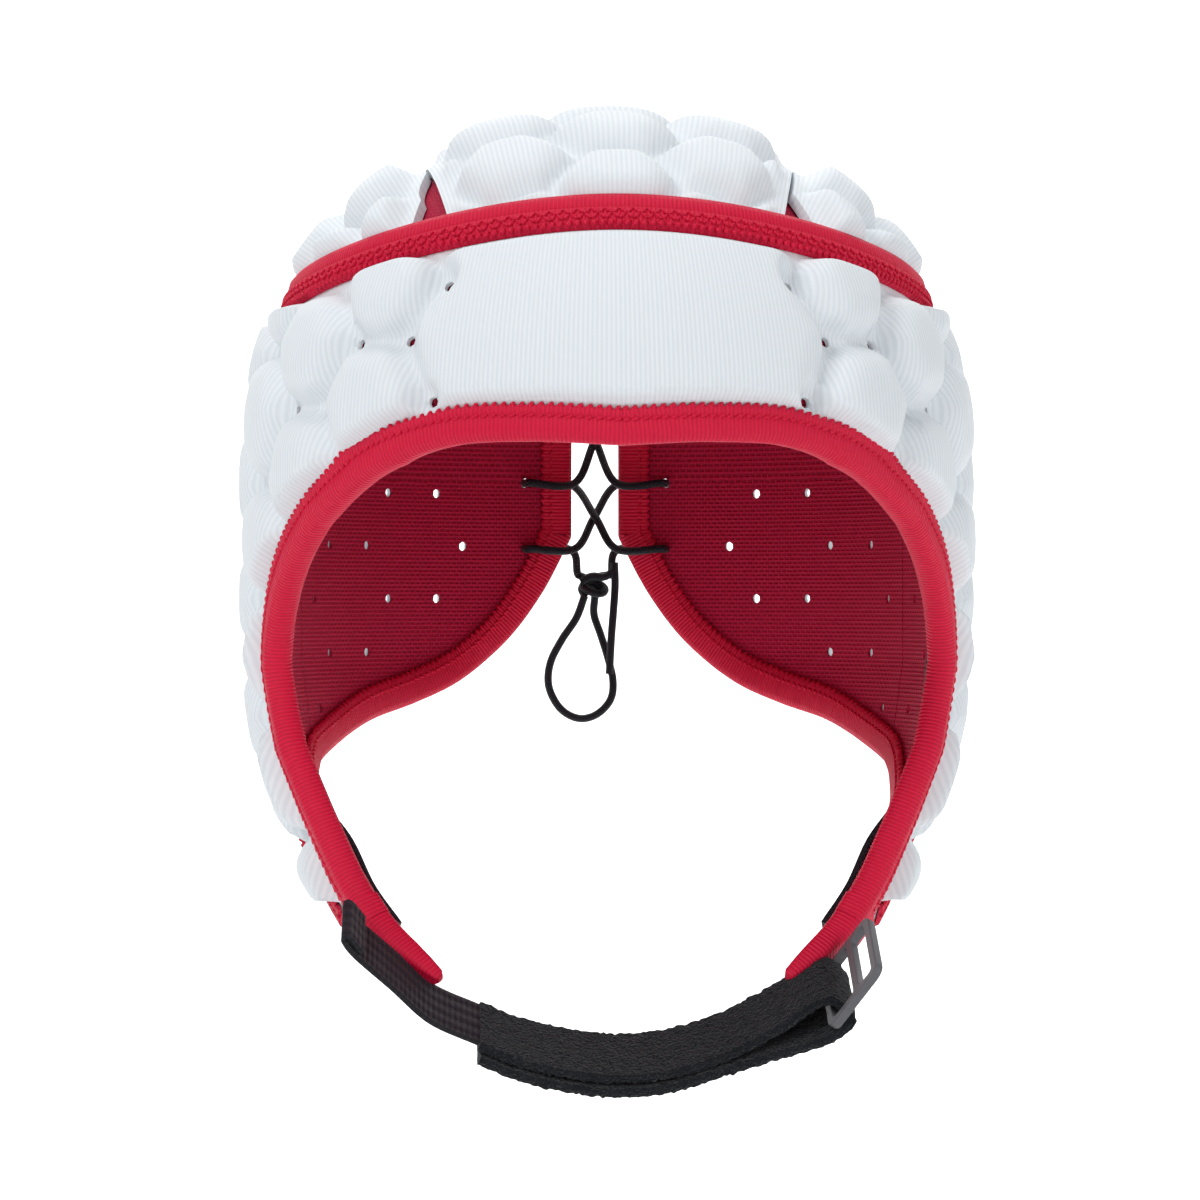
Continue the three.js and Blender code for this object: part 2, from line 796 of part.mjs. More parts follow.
function cord(points, steps) {
  const curve = new THREE.CatmullRomCurve3(points.map((p) => (Array.isArray(p) ? new THREE.Vector3(...p) : p)));
  const section = new THREE.Shape();
  for (let k = 0; k < 8; k += 1) {
    const angle = (k * Math.PI) / 4;
    const [x, y] = [Math.cos(angle) * laceDiameter / 2, Math.sin(angle) * laceDiameter / 2];
    if (k === 0) section.moveTo(x, y);
    else section.lineTo(x, y);
  }
  const geometry = new THREE.ExtrudeGeometry(section, { steps, extrudePath: curve, bevelEnabled: false });
  geometry.deleteAttribute('normal');
  geometry.deleteAttribute('uv');
  return mergeVertices(geometry, 1e-4);
}

function laceKnot() {
  const geometry = new THREE.SphereGeometry(knotRadius, 8, 6);
  geometry.deleteAttribute('normal');
  geometry.deleteAttribute('uv');
  geometry.scale(1, 0.75, 0.8);
  geometry.translate(0, headHalfLength + knotBehind, knotHeight - 0.6);
  return mergeVertices(geometry, 1e-4);
}

// Colours of the real materials
const jersey = { color: 0xeef1f4, roughness: 0.8, metalness: 0 };
const mesh = { color: 0x8c0f2c, roughness: 0.85, metalness: 0 };
const tape = { color: 0xd5123c, roughness: 0.7, metalness: 0 };
const webbing = { color: 0x1d1b22, roughness: 0.75, metalness: 0 };
const fleece = { color: 0x121319, roughness: 0.95, metalness: 0 };
const plastic = { color: 0x6d7076, roughness: 0.45, metalness: 0 };
const elastic = { color: 0x11141c, roughness: 0.6, metalness: 0 };

const group = new THREE.Group();

function add(name, geometry, look) {
  const node = new THREE.Mesh(geometry, new THREE.MeshStandardMaterial(look));
  node.name = name;
  group.add(node);
  return node;
}

function addPair(name, geometry, look) {
  add(`right_${name}`, geometry, look);
  add(`left_${name}`, mirrored(geometry), look);
}

const holes = laceRows.map(eyelet);
add('front_pad', wallOver({ ...frontPlace(), low: padBase, high: bandHeight }), jersey);
add('front_lining', wallOver({ ...frontPlace(), low: 0, high: flatWall(liningThickness) }), mesh);
add('crown_pad', wallOver({ ...crownPlace(), low: padBase, high: crownHeight(0, crownFirstCell) }), jersey);
const upperOffset = crownHalfWidth + cellPitch * Math.sqrt(0.75) * 0.5;
const upperPad = wallOver({ ...upperPlace(), low: padBase, high: crownHeight(upperOffset, upperFirstCell) });
addPair('upper_pad', upperPad, jersey);
addPair('rear_pad', drilled(wallOver({ ...rearPlace(), low: padBase, high: bandHeight }), holes), jersey);
const rearLining = wallOver({ ...rearPlace(), low: 0, high: flatWall(liningThickness) });
addPair('rear_lining', drilled(rearLining, holes), mesh);

function crownLining() {
  const turns = 30;
  const rings = 5;
  const corners = [];
  const at = (i, j, height) => {
    const turn = (i % turns) * (360 / turns) - 180;
    if (j === 0) return new THREE.Vector3(0, 0, height);
    return lifted({ turn, m: ((bandTop(turn).m - gap) * j) / rings }, height);
  };
  for (let i = 0; i < turns; i += 1) {
    for (let j = 0; j < rings; j += 1) {
      for (const [height, order] of [[liningThickness, 1], [0, -1]]) {
        const quad = [at(i, j, height), at(i, j + 1, height), at(i + 1, j + 1, height), at(i + 1, j, height)];
        const loop = order > 0 ? quad : quad.reverse();
        corners.push(loop[0], loop[1], loop[2], loop[0], loop[2], loop[3]);
      }
    }
    const [a, b] = [at(i, rings, liningThickness), at(i + 1, rings, liningThickness)];
    const [c, d] = [at(i, rings, 0), at(i + 1, rings, 0)];
    corners.push(b, a, c, b, c, d);
  }
  return facingOut(cleaned(solidOf(corners)));
}

// Triangles that lost a corner at the crown's middle are dropped
function cleaned(geometry) {
  const index = [...geometry.index.array];
  const kept = [];
  for (let k = 0; k < index.length; k += 3) {
    const [a, b, c] = index.slice(k, k + 3);
    if (a !== b && b !== c && c !== a) kept.push(a, b, c);
  }
  geometry.setIndex(kept);
  return geometry;
}

add('crown_lining', crownLining(), mesh);
add('top_binding', topTape(), tape);
add('face_binding', foldedTape(faceEdge(), 1), tape);
addPair('rear_binding', foldedTape(rearEdge(), 1), tape);
addPair('flap_tab', flapTab(), tape);
addPair('inner_strap', innerStrap(), webbing);
add('left_webbing', ribbon(strapStations(webbingLine, 0), webbingWidth, webbingThickness), webbing);
add('chin_strap', chinStrap(), fleece);
seatRing(add('strap_ring', strapRing(), plastic));
add('lace_weave', cord(lacePath(), 72), elastic);
add('lace_knot', laceKnot(), elastic);
add('lace_loop', cord(loopPoints, 22), elastic);
add('lace_tail', cord(tailPoints, 8), elastic);

export default group;
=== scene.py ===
import math
import bpy
import numpy as np
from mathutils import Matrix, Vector, kdtree


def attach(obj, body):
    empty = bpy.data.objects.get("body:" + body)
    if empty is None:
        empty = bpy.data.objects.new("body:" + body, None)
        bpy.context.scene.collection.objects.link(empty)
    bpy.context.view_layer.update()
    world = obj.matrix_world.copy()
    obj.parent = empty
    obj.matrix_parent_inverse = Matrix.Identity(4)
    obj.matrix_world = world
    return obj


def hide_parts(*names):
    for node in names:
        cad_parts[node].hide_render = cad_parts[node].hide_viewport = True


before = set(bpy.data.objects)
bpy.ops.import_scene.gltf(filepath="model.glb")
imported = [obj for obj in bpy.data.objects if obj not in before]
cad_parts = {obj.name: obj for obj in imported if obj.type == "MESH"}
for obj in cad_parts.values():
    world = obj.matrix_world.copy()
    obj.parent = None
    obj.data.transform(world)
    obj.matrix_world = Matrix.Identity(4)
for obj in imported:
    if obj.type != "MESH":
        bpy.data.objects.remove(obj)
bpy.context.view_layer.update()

mm = 0.001


def added(name, data):
    piece = bpy.data.objects.new(name, data)
    bpy.context.scene.collection.objects.link(piece)
    return piece


# Camera first: a long lens in front of the cap, a little to its left
cameraLook = {"distance": 1.1, "turn": -1.9, "height": -0.114, "aimX": -0.0018, "pixelsPerMm": 3.94}
photoWidth = 1200
cameraData = bpy.data.cameras.new("camera")
cameraObject = added("camera", cameraData)
cameraTurn = math.radians(cameraLook["turn"])
cameraObject.location = (
    math.sin(cameraTurn) * cameraLook["distance"] + cameraLook["aimX"],
    -math.cos(cameraTurn) * cameraLook["distance"],
    cameraLook["height"],
)
cameraObject.rotation_euler = (math.radians(90), 0, cameraTurn)
cameraData.sensor_width = 36
cameraData.lens = 36 * cameraLook["pixelsPerMm"] * cameraLook["distance"] / mm / photoWidth
bpy.context.scene.camera = cameraObject

# Sizes of the cap, in millimetres as on its drawing
cap = {
    "halfWidth": 83, "halfLength": 96, "domeHeight": 82, "meridian": 135, "skirt": 126, "power": 2.3,
    "lining": 0.8, "liningGap": 0.55, "edge": 2.6, "cell": 8.9, "plateau": 6.8, "pitch": 28.6,
    "columnTurn": 16.8, "tape": 7, "tapeThick": 1.0, "tapeGap": 0.5, "crownHalf": 43.5, "gapHalf": 8,
}
padBase = cap["lining"] + cap["liningGap"]
edgeLength = cap["meridian"] + cap["skirt"]
meanRadius = (cap["halfWidth"] + cap["halfLength"]) / 2 + padBase + cap["edge"]
columnStep = cap["pitch"] * math.sqrt(0.75)

# Below the dome the head draws in: share of the skirt's drop, and share of the full width there
skirtRows = np.array([
    [0, 1], [0.38, 1], [0.54, 0.965], [0.66, 0.905], [0.78, 0.84], [0.9, 0.765], [1, 0.68], [1.2, 0.5],
])
# Edges as turn from the front in degrees, and share of the way from the crown to the flap tip
faceArch = np.array([[0, 0.503], [14, 0.5], [28, 0.503], [42, 0.523], [56, 0.567]])
flapFront = np.array([
    [56, 0.567], [65, 0.609], [71.5, 0.651], [75, 0.693], [75, 0.735],
    [72.5, 0.777], [69.5, 0.82], [66.5, 0.862], [63, 0.904], [58, 0.943],
])
flapRear = np.array([
    [109, 0.613], [109, 0.659], [109, 0.705], [109, 0.751], [109, 0.797],
    [104, 0.812], [98, 0.835], [91.5, 0.866], [84, 0.904], [75, 0.943],
])
napeEdge = np.array([
    [109, 0.797], [120, 0.778], [131, 0.757], [143, 0.74],
    [153, 0.718], [162, 0.68], [169, 0.63], [174.5, 0.572],
])
bandTopFront, bandTopSide = 75, 94  # drop of the top tape at the front and at the sides
seamTurn = 109  # turn of the seam behind the ears


def toUnit(vector):
    return vector / np.linalg.norm(vector, axis=-1, keepdims=True)


def smooth(x, low, high):
    t = np.clip((np.asarray(x, float) - low) / (high - low), 0, 1)
    return t * t * (3 - 2 * t)


# Inside of the cap, at a turn from the front and a drop m from the crown along the surface
def seat(turn, m):
    turn, m = np.radians(np.asarray(turn, float)), np.asarray(m, float)
    theta = np.clip(m / cap["meridian"], 0, 1) * math.pi / 2
    power = 2 / cap["power"]
    drop = np.clip(m - cap["meridian"], 0, None)
    skirtReach = np.interp(drop / cap["skirt"], *skirtRows.T)
    reach = np.where(m <= cap["meridian"], np.sin(theta) ** power, skirtReach)
    x = cap["halfWidth"] * reach * np.sin(turn)
    y = -cap["halfLength"] * reach * np.cos(turn)
    z = -cap["domeHeight"] * (1 - np.clip(np.cos(theta), 0, 1) ** power) - drop
    return np.stack([x, y, z], -1)


def slopes(turn, m):
    turn, m = np.asarray(turn, float), np.maximum(np.asarray(m, float), 4)
    across = seat(turn + 0.5, m) - seat(turn - 0.5, m)
    down = (seat(turn, m + 3) - seat(turn, m - 3)) / 6
    return across, down


def outward(turn, m):
    across, down = slopes(turn, m)
    normal = toUnit(np.cross(down, across))
    blend = smooth(m, 2, 22)[..., None]
    up = np.zeros_like(normal)
    up[..., 2] = 1
    return toUnit(normal * blend + up * (1 - blend))


def lifted(turn, m, height):
    return seat(turn, m) + outward(turn, m) * np.asarray(height, float)[..., None]


# Turn and drop of the place that a small step along the surface leads to
def slid(turn, m, step):
    across, down = slopes(turn, m)
    aa, ad, dd = (across * across).sum(-1), (across * down).sum(-1), (down * down).sum(-1)
    sa, sd = (step * across).sum(-1), (step * down).sum(-1)
    det = aa * dd - ad * ad
    return turn + (sa * dd - sd * ad) / det, m + (sd * aa - sa * ad) / det


# A smooth line through points, where x counts along them and may lie between two
def smoothLine(points, x):
    last = len(points) - 2
    k = np.clip(np.floor(x).astype(int), 0, last)
    f = (x - k)[..., None]
    a, b = points[k], points[k + 1]
    before = np.where((k == 0)[..., None], 2 * a - b, points[np.maximum(k - 1, 0)])
    after = np.where((k == last)[..., None], 2 * b - a, points[np.minimum(k + 2, last + 1)])
    return 0.5 * (2 * a + (b - before) * f + (2 * before - 5 * a + 4 * b - after) * f ** 2
                  + (3 * a - before - 3 * b + after) * f ** 3)


# Turns and drops along an edge's rows, at shares 0 to 1
def alongRows(rows, t):
    p = smoothLine(rows, np.clip(np.asarray(t, float), 0, 1) * (len(rows) - 1))
    return p[..., 0], p[..., 1] * edgeLength


def bandTop(turn):
    return bandTopFront + (bandTopSide - bandTopFront) * smooth(np.abs(turn), 0, 95)


# Cells: nearest and second nearest centre of the honeycomb, as shares of its pitch
def cellDistances(column, along):
    found, ids = [], []
    base = np.floor(column)
    for step in (-1, 0, 1, 2):
        c = base + step
        shift = np.where(np.mod(c, 2) == 0, 0.0, 0.5)
        row = np.round(along - shift) + shift
        for r in (row - 1, row, row + 1):
            found.append(np.hypot((column - c) * math.sqrt(0.75), along - r))
            ids.append(c)
    return np.array(found), np.array(ids)


cellForm = {"valley": 0.07, "run": 0.62, "dome": 2.3, "shoulder": 0.85}


# How high a cell stands, from the valley at its edge to its middle
def cellRise(share):
    t = np.clip((share - cellForm["valley"]) / cellForm["run"], 0, 1)
    return (1 - (1 - t) ** cellForm["dome"]) ** cellForm["shoulder"]


firstRow = 0.474 * edgeLength  # drop of the band's first row of cells


def bandHeight(turn, m):
    column = (np.abs(turn) - cap["columnTurn"] / 2) / cap["columnTurn"]
    d, ids = cellDistances(column, (m - firstRow) / cap["pitch"])
    order = np.sort(d, 0)
    nearest = np.take_along_axis(ids, d.argmin(0)[None], 0)[0]
    cells = cap["edge"] + (cap["cell"] - cap["edge"]) * cellRise(order[1] - order[0])
    outside = np.where((ids <= 1) & (ids >= -2), 9, d).min(0)  # the forehead has no cells of its own
    plateau = cap["edge"] + (cap["plateau"] - cap["edge"]) * cellRise(np.clip((outside - 0.5) * 2, 0, 1))
    return np.where((nearest <= 1) & (nearest >= -2), plateau, cells)


def crownHeight(offset, first):
    def height(turn, m):
        across = np.abs(m * np.sin(np.radians(turn))) - offset
        along = -m * np.cos(np.radians(turn))
        d, ids = cellDistances(across / columnStep, (along - first) / cap["pitch"])
        order = np.sort(d, 0)
        return cap["edge"] + (cap["cell"] - cap["edge"]) * cellRise(order[1] - order[0])
    return height


# Vents: hole radius, the foam left beside a hole, how its dimple fades, and the room that it needs
ventForm = {"radius": 1.3, "rearRadius": 1.9, "thin": 1.2, "dimple": (1.6, 5.5), "fade": (7, 10),
            "fromEdge": 9, "fromGrid": 2.5, "fromLace": 11}


# They sit at the corners where three cells meet
def bandVents():
    vents = []
    for c in range(1, 10):
        for row in range(-2, 5):
            for side in (1 / 3, 2 / 3):
                shift = 0 if c % 2 == 0 else 0.5
                lift = 0.5 if side < 0.5 else 0
                turn = cap["columnTurn"] * (c + side + 0.5)
                m = firstRow + cap["pitch"] * (row + shift + lift)
                vents += [(turn, m), (-turn, m)]
    return vents


materials = {}  # by name, for the meshes that follow


def meshObject(name, points, faces, uv, material):
    mesh = bpy.data.meshes.new(name)
    mesh.from_pydata((np.asarray(points) * mm).tolist(), [], [list(map(int, f)) for f in faces])
    layer = mesh.uv_layers.new(name="cloth")
    corners = np.zeros(len(mesh.loops), dtype=np.int32)
    mesh.loops.foreach_get("vertex_index", corners)
    layer.data.foreach_set("uv", (np.asarray(uv)[corners] * mm).astype(np.float32).ravel())
    mesh.polygons.foreach_set("use_smooth", [True] * len(mesh.polygons))
    mesh.materials.append(materials[material])
    mesh.validate()
    mesh.update()
    mesh.set_sharp_from_angle(angle=math.radians(58))
    return added(name, mesh)


# What moves with the cap, and which pieces of the drawing it stands for; the slot is not used
def ridesFor(piece, slot, *nodes):
    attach(piece, "root")
    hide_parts(*nodes)
    return piece


# Finds the nearest of many points
def treeOf(points):
    tree = kdtree.KDTree(len(points))
    for k, p in enumerate(points):
        tree.insert(p, k)
    tree.balance()
    return tree


# How far each crossing of a grid lies from the grid's own border
def edgeDistance(base, present, ease):
    field = np.pad(present, 1)
    touching = field[:-1, :-1].astype(int) + field[1:, :-1] + field[:-1, 1:] + field[1:, 1:]
    border = (touching > 0) & (touching < 4)
    used = touching > 0
    far = np.full(used.shape, 99.0)
    for extra in np.unique(ease[border]):
        tree = treeOf(base[border & (ease == extra)])
        far[used] = np.minimum(far[used], [tree.find(p)[2] + extra for p in base[used]])
    far[border] = 0
    return far


# Both faces of a wall, and the strips that close its border and its holes
def wallFaces(cut):
    rows, columns = cut.shape
    count = (rows + 1) * (columns + 1)
    ids = np.arange(count).reshape(rows + 1, columns + 1)
    full = np.stack([ids[:-1, :-1], ids[1:, :-1], ids[1:, 1:], ids[:-1, 1:]], -1)
    quads = full[cut]
    faces = [quads + count, quads[:, ::-1]]
    field = np.pad(cut, 1)
    for side, (dj, di) in enumerate(((0, -1), (1, 0), (0, 1), (-1, 0))):
        beside = field[1 + dj:rows + 1 + dj, 1 + di:columns + 1 + di]
        edges = full[cut & ~beside]
        a, b = edges[:, side], edges[:, (side + 1) % 4]
        faces.append(np.stack([b + count, a + count, a, b], -1))
    return np.concatenate(faces)


bandRamp = (6.2, 9.8)  # how far from its edge the foam of the band starts and ends its rise
roundHole = [(dj, di) for dj in (-1, 0, 1) for di in (-1, 0, 1) if di or dj]  # the eight crossings round it


# Wall on the surface from a grid of turns and drops, eased down at its border and holed at its vents
def gridWall(name, shape, low, height, material, vents=(), ramp=bandRamp,
             radius=ventForm["radius"], flat=False):
    columns, rows = shape["columns"], shape["rows"]
    j, i = np.mgrid[0:rows + 1, 0:columns + 1]
    turn, m = shape["place"](i, j)
    base, normal = seat(turn, m), outward(turn, m)
    qj, qi = np.mgrid[0:rows, 0:columns]
    present = shape["present"](qi, qj) if "present" in shape else np.ones(qi.shape, bool)
    ease = shape["seam"](turn, i, j) if "seam" in shape else np.zeros(turn.shape)
    toEdge = edgeDistance(base, present, ease)
    if flat:
        thick = np.full(turn.shape, float(height))
    else:
        thick = cap["edge"] + (height(turn, m) - cap["edge"]) * smooth(toEdge, *ramp)
    cut = present.copy()
    if len(vents) and not flat:
        ventTree = treeOf([seat(*place) for place in vents])
        far = np.array([ventTree.find(p)[2] for p in base.reshape(-1, 3)]).reshape(turn.shape)
        dimple = (1 - smooth(far, *ventForm["dimple"])) * smooth(toEdge, *ventForm["fade"])
        thick = thick - (thick - ventForm["thin"]) * dimple
    gridTree = treeOf(base.reshape(-1, 3))
    for place in vents:
        _, k, far = gridTree.find(seat(*place))
        cj, ci = divmod(k, columns + 1)
        if far > ventForm["fromGrid"] or toEdge[cj, ci] < ventForm["fromEdge"]:
            continue
        if not (2 < ci < columns - 2 and 2 < cj < rows - 2):
            continue
        if not present[cj - 2:cj + 2, ci - 2:ci + 2].all():
            continue
        cut[cj - 1:cj + 1, ci - 1:ci + 1] = False
        centre, up = seat(*place), normal[cj, ci]
        for dj, di in roundHole:
            at = (cj + dj, ci + di)
            way = base[at] - base[cj, ci]
            way -= up * way.dot(up)
            way *= radius / np.linalg.norm(way)
            base[at] = centre + way
            a, b = slid(np.array([place[0]]), np.array([place[1]]), way[None])
            turn[at], m[at] = a[0], b[0]
            if not flat:
                thick[at] = ventForm["thin"]
    inner = (base + normal * low).reshape(-1, 3)
    outer = (base + normal * (low + thick)[..., None]).reshape(-1, 3)
    keep, back = np.unique(wallFaces(cut), return_inverse=True)
    faces = back.reshape(-1, 4)
    points = np.concatenate([inner, outer])[keep]
    across = shape["across"](turn, m) if "across" in shape else turn * math.pi / 180 * meanRadius
    down = shape["down"](turn, m) if "down" in shape else m
    uv = np.stack([across, down], -1).reshape(-1, 2)
    uv = np.concatenate([uv, uv])[keep]
    if signedVolume(points, faces) < 0:
        faces = faces[:, ::-1]
    return meshObject(name, points, faces, uv, material)


# Above zero when the faces point outwards
def signedVolume(points, faces):
    a, b, c, d = (points[faces[:, k]] for k in range(4))
    return (np.einsum("ij,ij->i", a, np.cross(b, c)) + np.einsum("ij,ij->i", a, np.cross(c, d))).sum()


# A closed section swept along stations
def sweepParts(sections, uv):
    sections = np.asarray(sections, float)
    count, corners = sections.shape[:2]
    ids = np.arange(count * corners).reshape(count, corners)
    nextCorner = np.roll(ids, -1, 1)
    body = np.stack([ids[:-1], nextCorner[:-1], nextCorner[1:], ids[1:]], -1).reshape(-1, 4)
    points = sections.reshape(-1, 3)
    flip = signedVolume(points, body) < 0
    faces = body[:, ::-1] if flip else body
    faces = faces.tolist()
    first, last = ids[0].tolist(), ids[-1].tolist()
    faces += [first if flip else first[::-1], last[::-1] if flip else last]
    return points, faces, np.asarray(uv).reshape(-1, 2)


def pathLengths(points):
    return np.concatenate([[0], np.cumsum(np.linalg.norm(np.diff(points, axis=0), axis=1))])


def evenly(turn, m, step):
    lengths = pathLengths(seat(turn, m))
    count = max(4, int(lengths[-1] / step))
    at = np.linspace(0, lengths[-1], count + 1)
    return np.interp(at, lengths, turn), np.interp(at, lengths, m), at


def frameAlong(turn, m, side):
    along = toUnit(np.gradient(seat(turn, m), axis=0))
    return np.cross(outward(turn, m), along) * side


# Thread seen between needle holes: small beads along a path, slanted by the given turn
def threadBeads(turn, m, side, height, inset, pitch, size, slant=0.0, zigzag=False):
    turn, m, _ = evenly(turn, m, pitch)
    inward = frameAlong(turn, m, side)
    a, b = slid(turn, m, inward * inset)
    centres = lifted(a, b, np.full(len(turn), float(height)))
    normal = outward(a, b)
    along = toUnit(np.gradient(centres, axis=0))
    across = np.cross(normal, along)
    rings = [(-1, 0.35), (-0.55, 0.85), (0.0, 1.0), (0.55, 0.85), (1, 0.35)]
    points, faces, uv = [], [], []
    for k, centre in enumerate(centres):
        way = slant * (-1 if zigzag and k % 2 else 1)
        lengthways = along[k] * math.cos(way) + across[k] * math.sin(way)
        sideways = across[k] * math.cos(way) - along[k] * math.sin(way)
        start = len(points)
        for far, wide in rings:
            for n in range(6):
                spin = n * math.pi / 3
                aside = wide * math.cos(spin) * size[1] / 2
                lift = wide * math.sin(spin) * size[1] / 2
                points.append(centre + lengthways * far * size[0] / 2 + sideways * aside + normal[k] * lift)
                uv.append((k * pitch + far, wide * spin))
        for r in range(4):
            for n in range(6):
                c, d = start + r * 6 + n, start + r * 6 + (n + 1) % 6
                faces.append([c, d, d + 6, c + 6])
        faces.append([start + n for n in range(5, -1, -1)])
        faces.append([start + 24 + n for n in range(6)])
    return points, faces, uv


# One piece from several bodies
def joined(name, parts, material):
    points, faces, uv = [], [], []
    for partPoints, partFaces, partUv in parts:
        start = len(points)
        points += [tuple(p) for p in partPoints]
        faces += [[start + v for v in face] for face in partFaces]
        uv += [tuple(q) for q in partUv]
    return meshObject(name, points, faces, np.array(uv), material)


# A tape's section, as inset, height and place across the cloth, followed along its edge
def tapeBody(turn, m, lengths, inward, outline):
    sections, uv = [], []
    for inset, height, across in outline:
        inset = np.broadcast_to(np.asarray(inset, float), lengths.shape)
        a, b = slid(turn, m, inward * inset[:, None])
        sections.append(lifted(a, b, np.broadcast_to(float(height), lengths.shape)))
        uv.append(np.stack([lengths, np.full(lengths.shape, float(across))], -1))
    return sweepParts(np.stack(sections, 1), np.stack(uv, 1))


# Binding: its picot edge, and its rows of stitches as inset, pitch, length and width, and slant
binding = {
    "picot": 0.45, "picotPitch": 2.1, "step": 0.5,
    "outside": (4.2, 2.1, (1.8, 1.0), 0.35), "inside": (4.6, 2.1, (1.8, 1.0), 0.35),
    "rim": (6.9, 2.1, (1.5, 1.3), 0.9),
}


# Tape folded over an edge: rounded at the fold, with a picot edge on each leg
def foldedTape(name, turn, m, side, nodes):
    turn, m, lengths = evenly(turn, m, binding["step"])
    inward = frameAlong(turn, m, side)
    top = padBase + cap["edge"] + cap["tapeGap"]
    low = -cap["tapeGap"]
    t = cap["tapeThick"]
    wave = binding["picot"] * np.sin(2 * math.pi * lengths / binding["picotPitch"])
    leg = cap["tape"] + wave
    mid = (top + low) / 2
    half = (top - low) / 2 + t
    outline = [
        (leg, top, 0), (leg + 0.1, top + 0.55 * t, 0.3), (leg - 0.6, top + t, 1), (4.6, top + t, 3.4),
        (4.2, top + 0.8 * t, 3.8), (3.8, top + 1.05 * t, 4.2), (1.2, top + 1.15 * t, 6.8),
        (0.2, top + 0.95 * t, 7.8), (-0.9, top + 0.1, 9.2), (-1.5, mid + 0.5 * half, 10.5),
        (-1.7, mid, 12), (-1.5, mid - 0.5 * half, 13.5), (-0.9, low - 0.1, 14.8),
        (0.2, low - 0.95 * t, 16), (3.8, low - t, 19.6), (leg - 0.6, low - t, 22.4),
        (leg + 0.1, low - 0.55 * t, 23), (leg, low, 23.4), (-0.3, low, 24), (-0.3, top, 24.5),
    ]
    stitches = [
        threadBeads(turn, m, side, top + t, *binding["outside"]),
        threadBeads(turn, m, side, low - t, *binding["inside"]),
        threadBeads(turn, m, side, top + 0.5 * t, *binding["rim"]),
    ]
    piece = joined(name, [tapeBody(turn, m, lengths, inward, outline), *stitches], "tape")
    return ridesFor(piece, "tape", *nodes)


# Top tape: its rows of stitches as height, inset, pitch, length and width, slant, and zigzag or not
topBinding = {
    "picot": 0.35, "picotPitch": 2.1, "step": 0.7, "offPad": 0.1,
    "stitches": [(3.0, -1.3, 1.5, (2.0, 0.9), 0.8, True), (2.75, -2.6, 1.5, (2.0, 0.9), -0.8, True),
                 (2.0, -4.1, 1.8, (1.8, 1.4), 0.9, False)],
}


# Tape over the top seam: a rolled edge in front, with zigzag thread in its groove
def topTape(name, nodes):
    turn = np.linspace(-seamTurn, seamTurn, 300)
    turn, m, lengths = evenly(turn, bandTop(turn), topBinding["step"])
    inward = frameAlong(turn, m, 1)
    base = padBase + cap["edge"] + topBinding["offPad"]
    wave = topBinding["picot"] * np.sin(2 * math.pi * lengths / topBinding["picotPitch"])
    outline = [
        (-4.6, base, 0), (4.2, base, 0), (4.6, base + 1.6, 1.5), (4.1, base + 3.0, 3),
        (2.4, base + 3.5, 4.5), (0.6, base + 3.1, 6), (0.1, base + 2.7, 6.6), (-0.4, base + 3.0, 7.2),
        (-2.6, base + 2.6, 9.4), (-4.3 - wave, base + 1.7, 11.2), (-4.7 - wave, base + 1.0, 11.8),
    ]
    stitches = [threadBeads(turn, m, 1, base + row[0], *row[1:]) for row in topBinding["stitches"]]
    piece = joined(name, [tapeBody(turn, m, lengths, inward, outline), *stitches], "tape")
    return ridesFor(piece, "tape", *nodes)


# Materials
def newMaterial(name, colour, roughness, sheen=0.0):
    material = bpy.data.materials.new(name)
    material.use_nodes = True
    shader = material.node_tree.nodes["Principled BSDF"]
    shader.inputs["Base Color"].default_value = (*colour, 1)
    shader.inputs["Roughness"].default_value = roughness
    shader.inputs["Sheen Weight"].default_value = sheen
    shader.inputs["Sheen Roughness"].default_value = 0.5
    shader.inputs["Specular IOR Level"].default_value = 0.25
    materials[name] = material
    return material, shader


def bumped(material, shader, finish, look):
    links = material.node_tree.links
    bump = material.node_tree.nodes.new("ShaderNodeBump")
    bump.inputs["Strength"].default_value = look["bump"]
    bump.inputs["Distance"].default_value = look["bumpSize"] * mm
    links.new(finish.outputs["Height"], bump.inputs["Height"])
    links.new(bump.outputs["Normal"], shader.inputs["Normal"])
    links.new(finish.outputs["Colour out"], shader.inputs["Base Color"])


def mathNode(group, operation, *sources):
    node = group.nodes.new("ShaderNodeMath")
    node.operation = operation
    for k, source in enumerate(sources):
        group.links.new(source, node.inputs[k])
    return node.outputs[0]
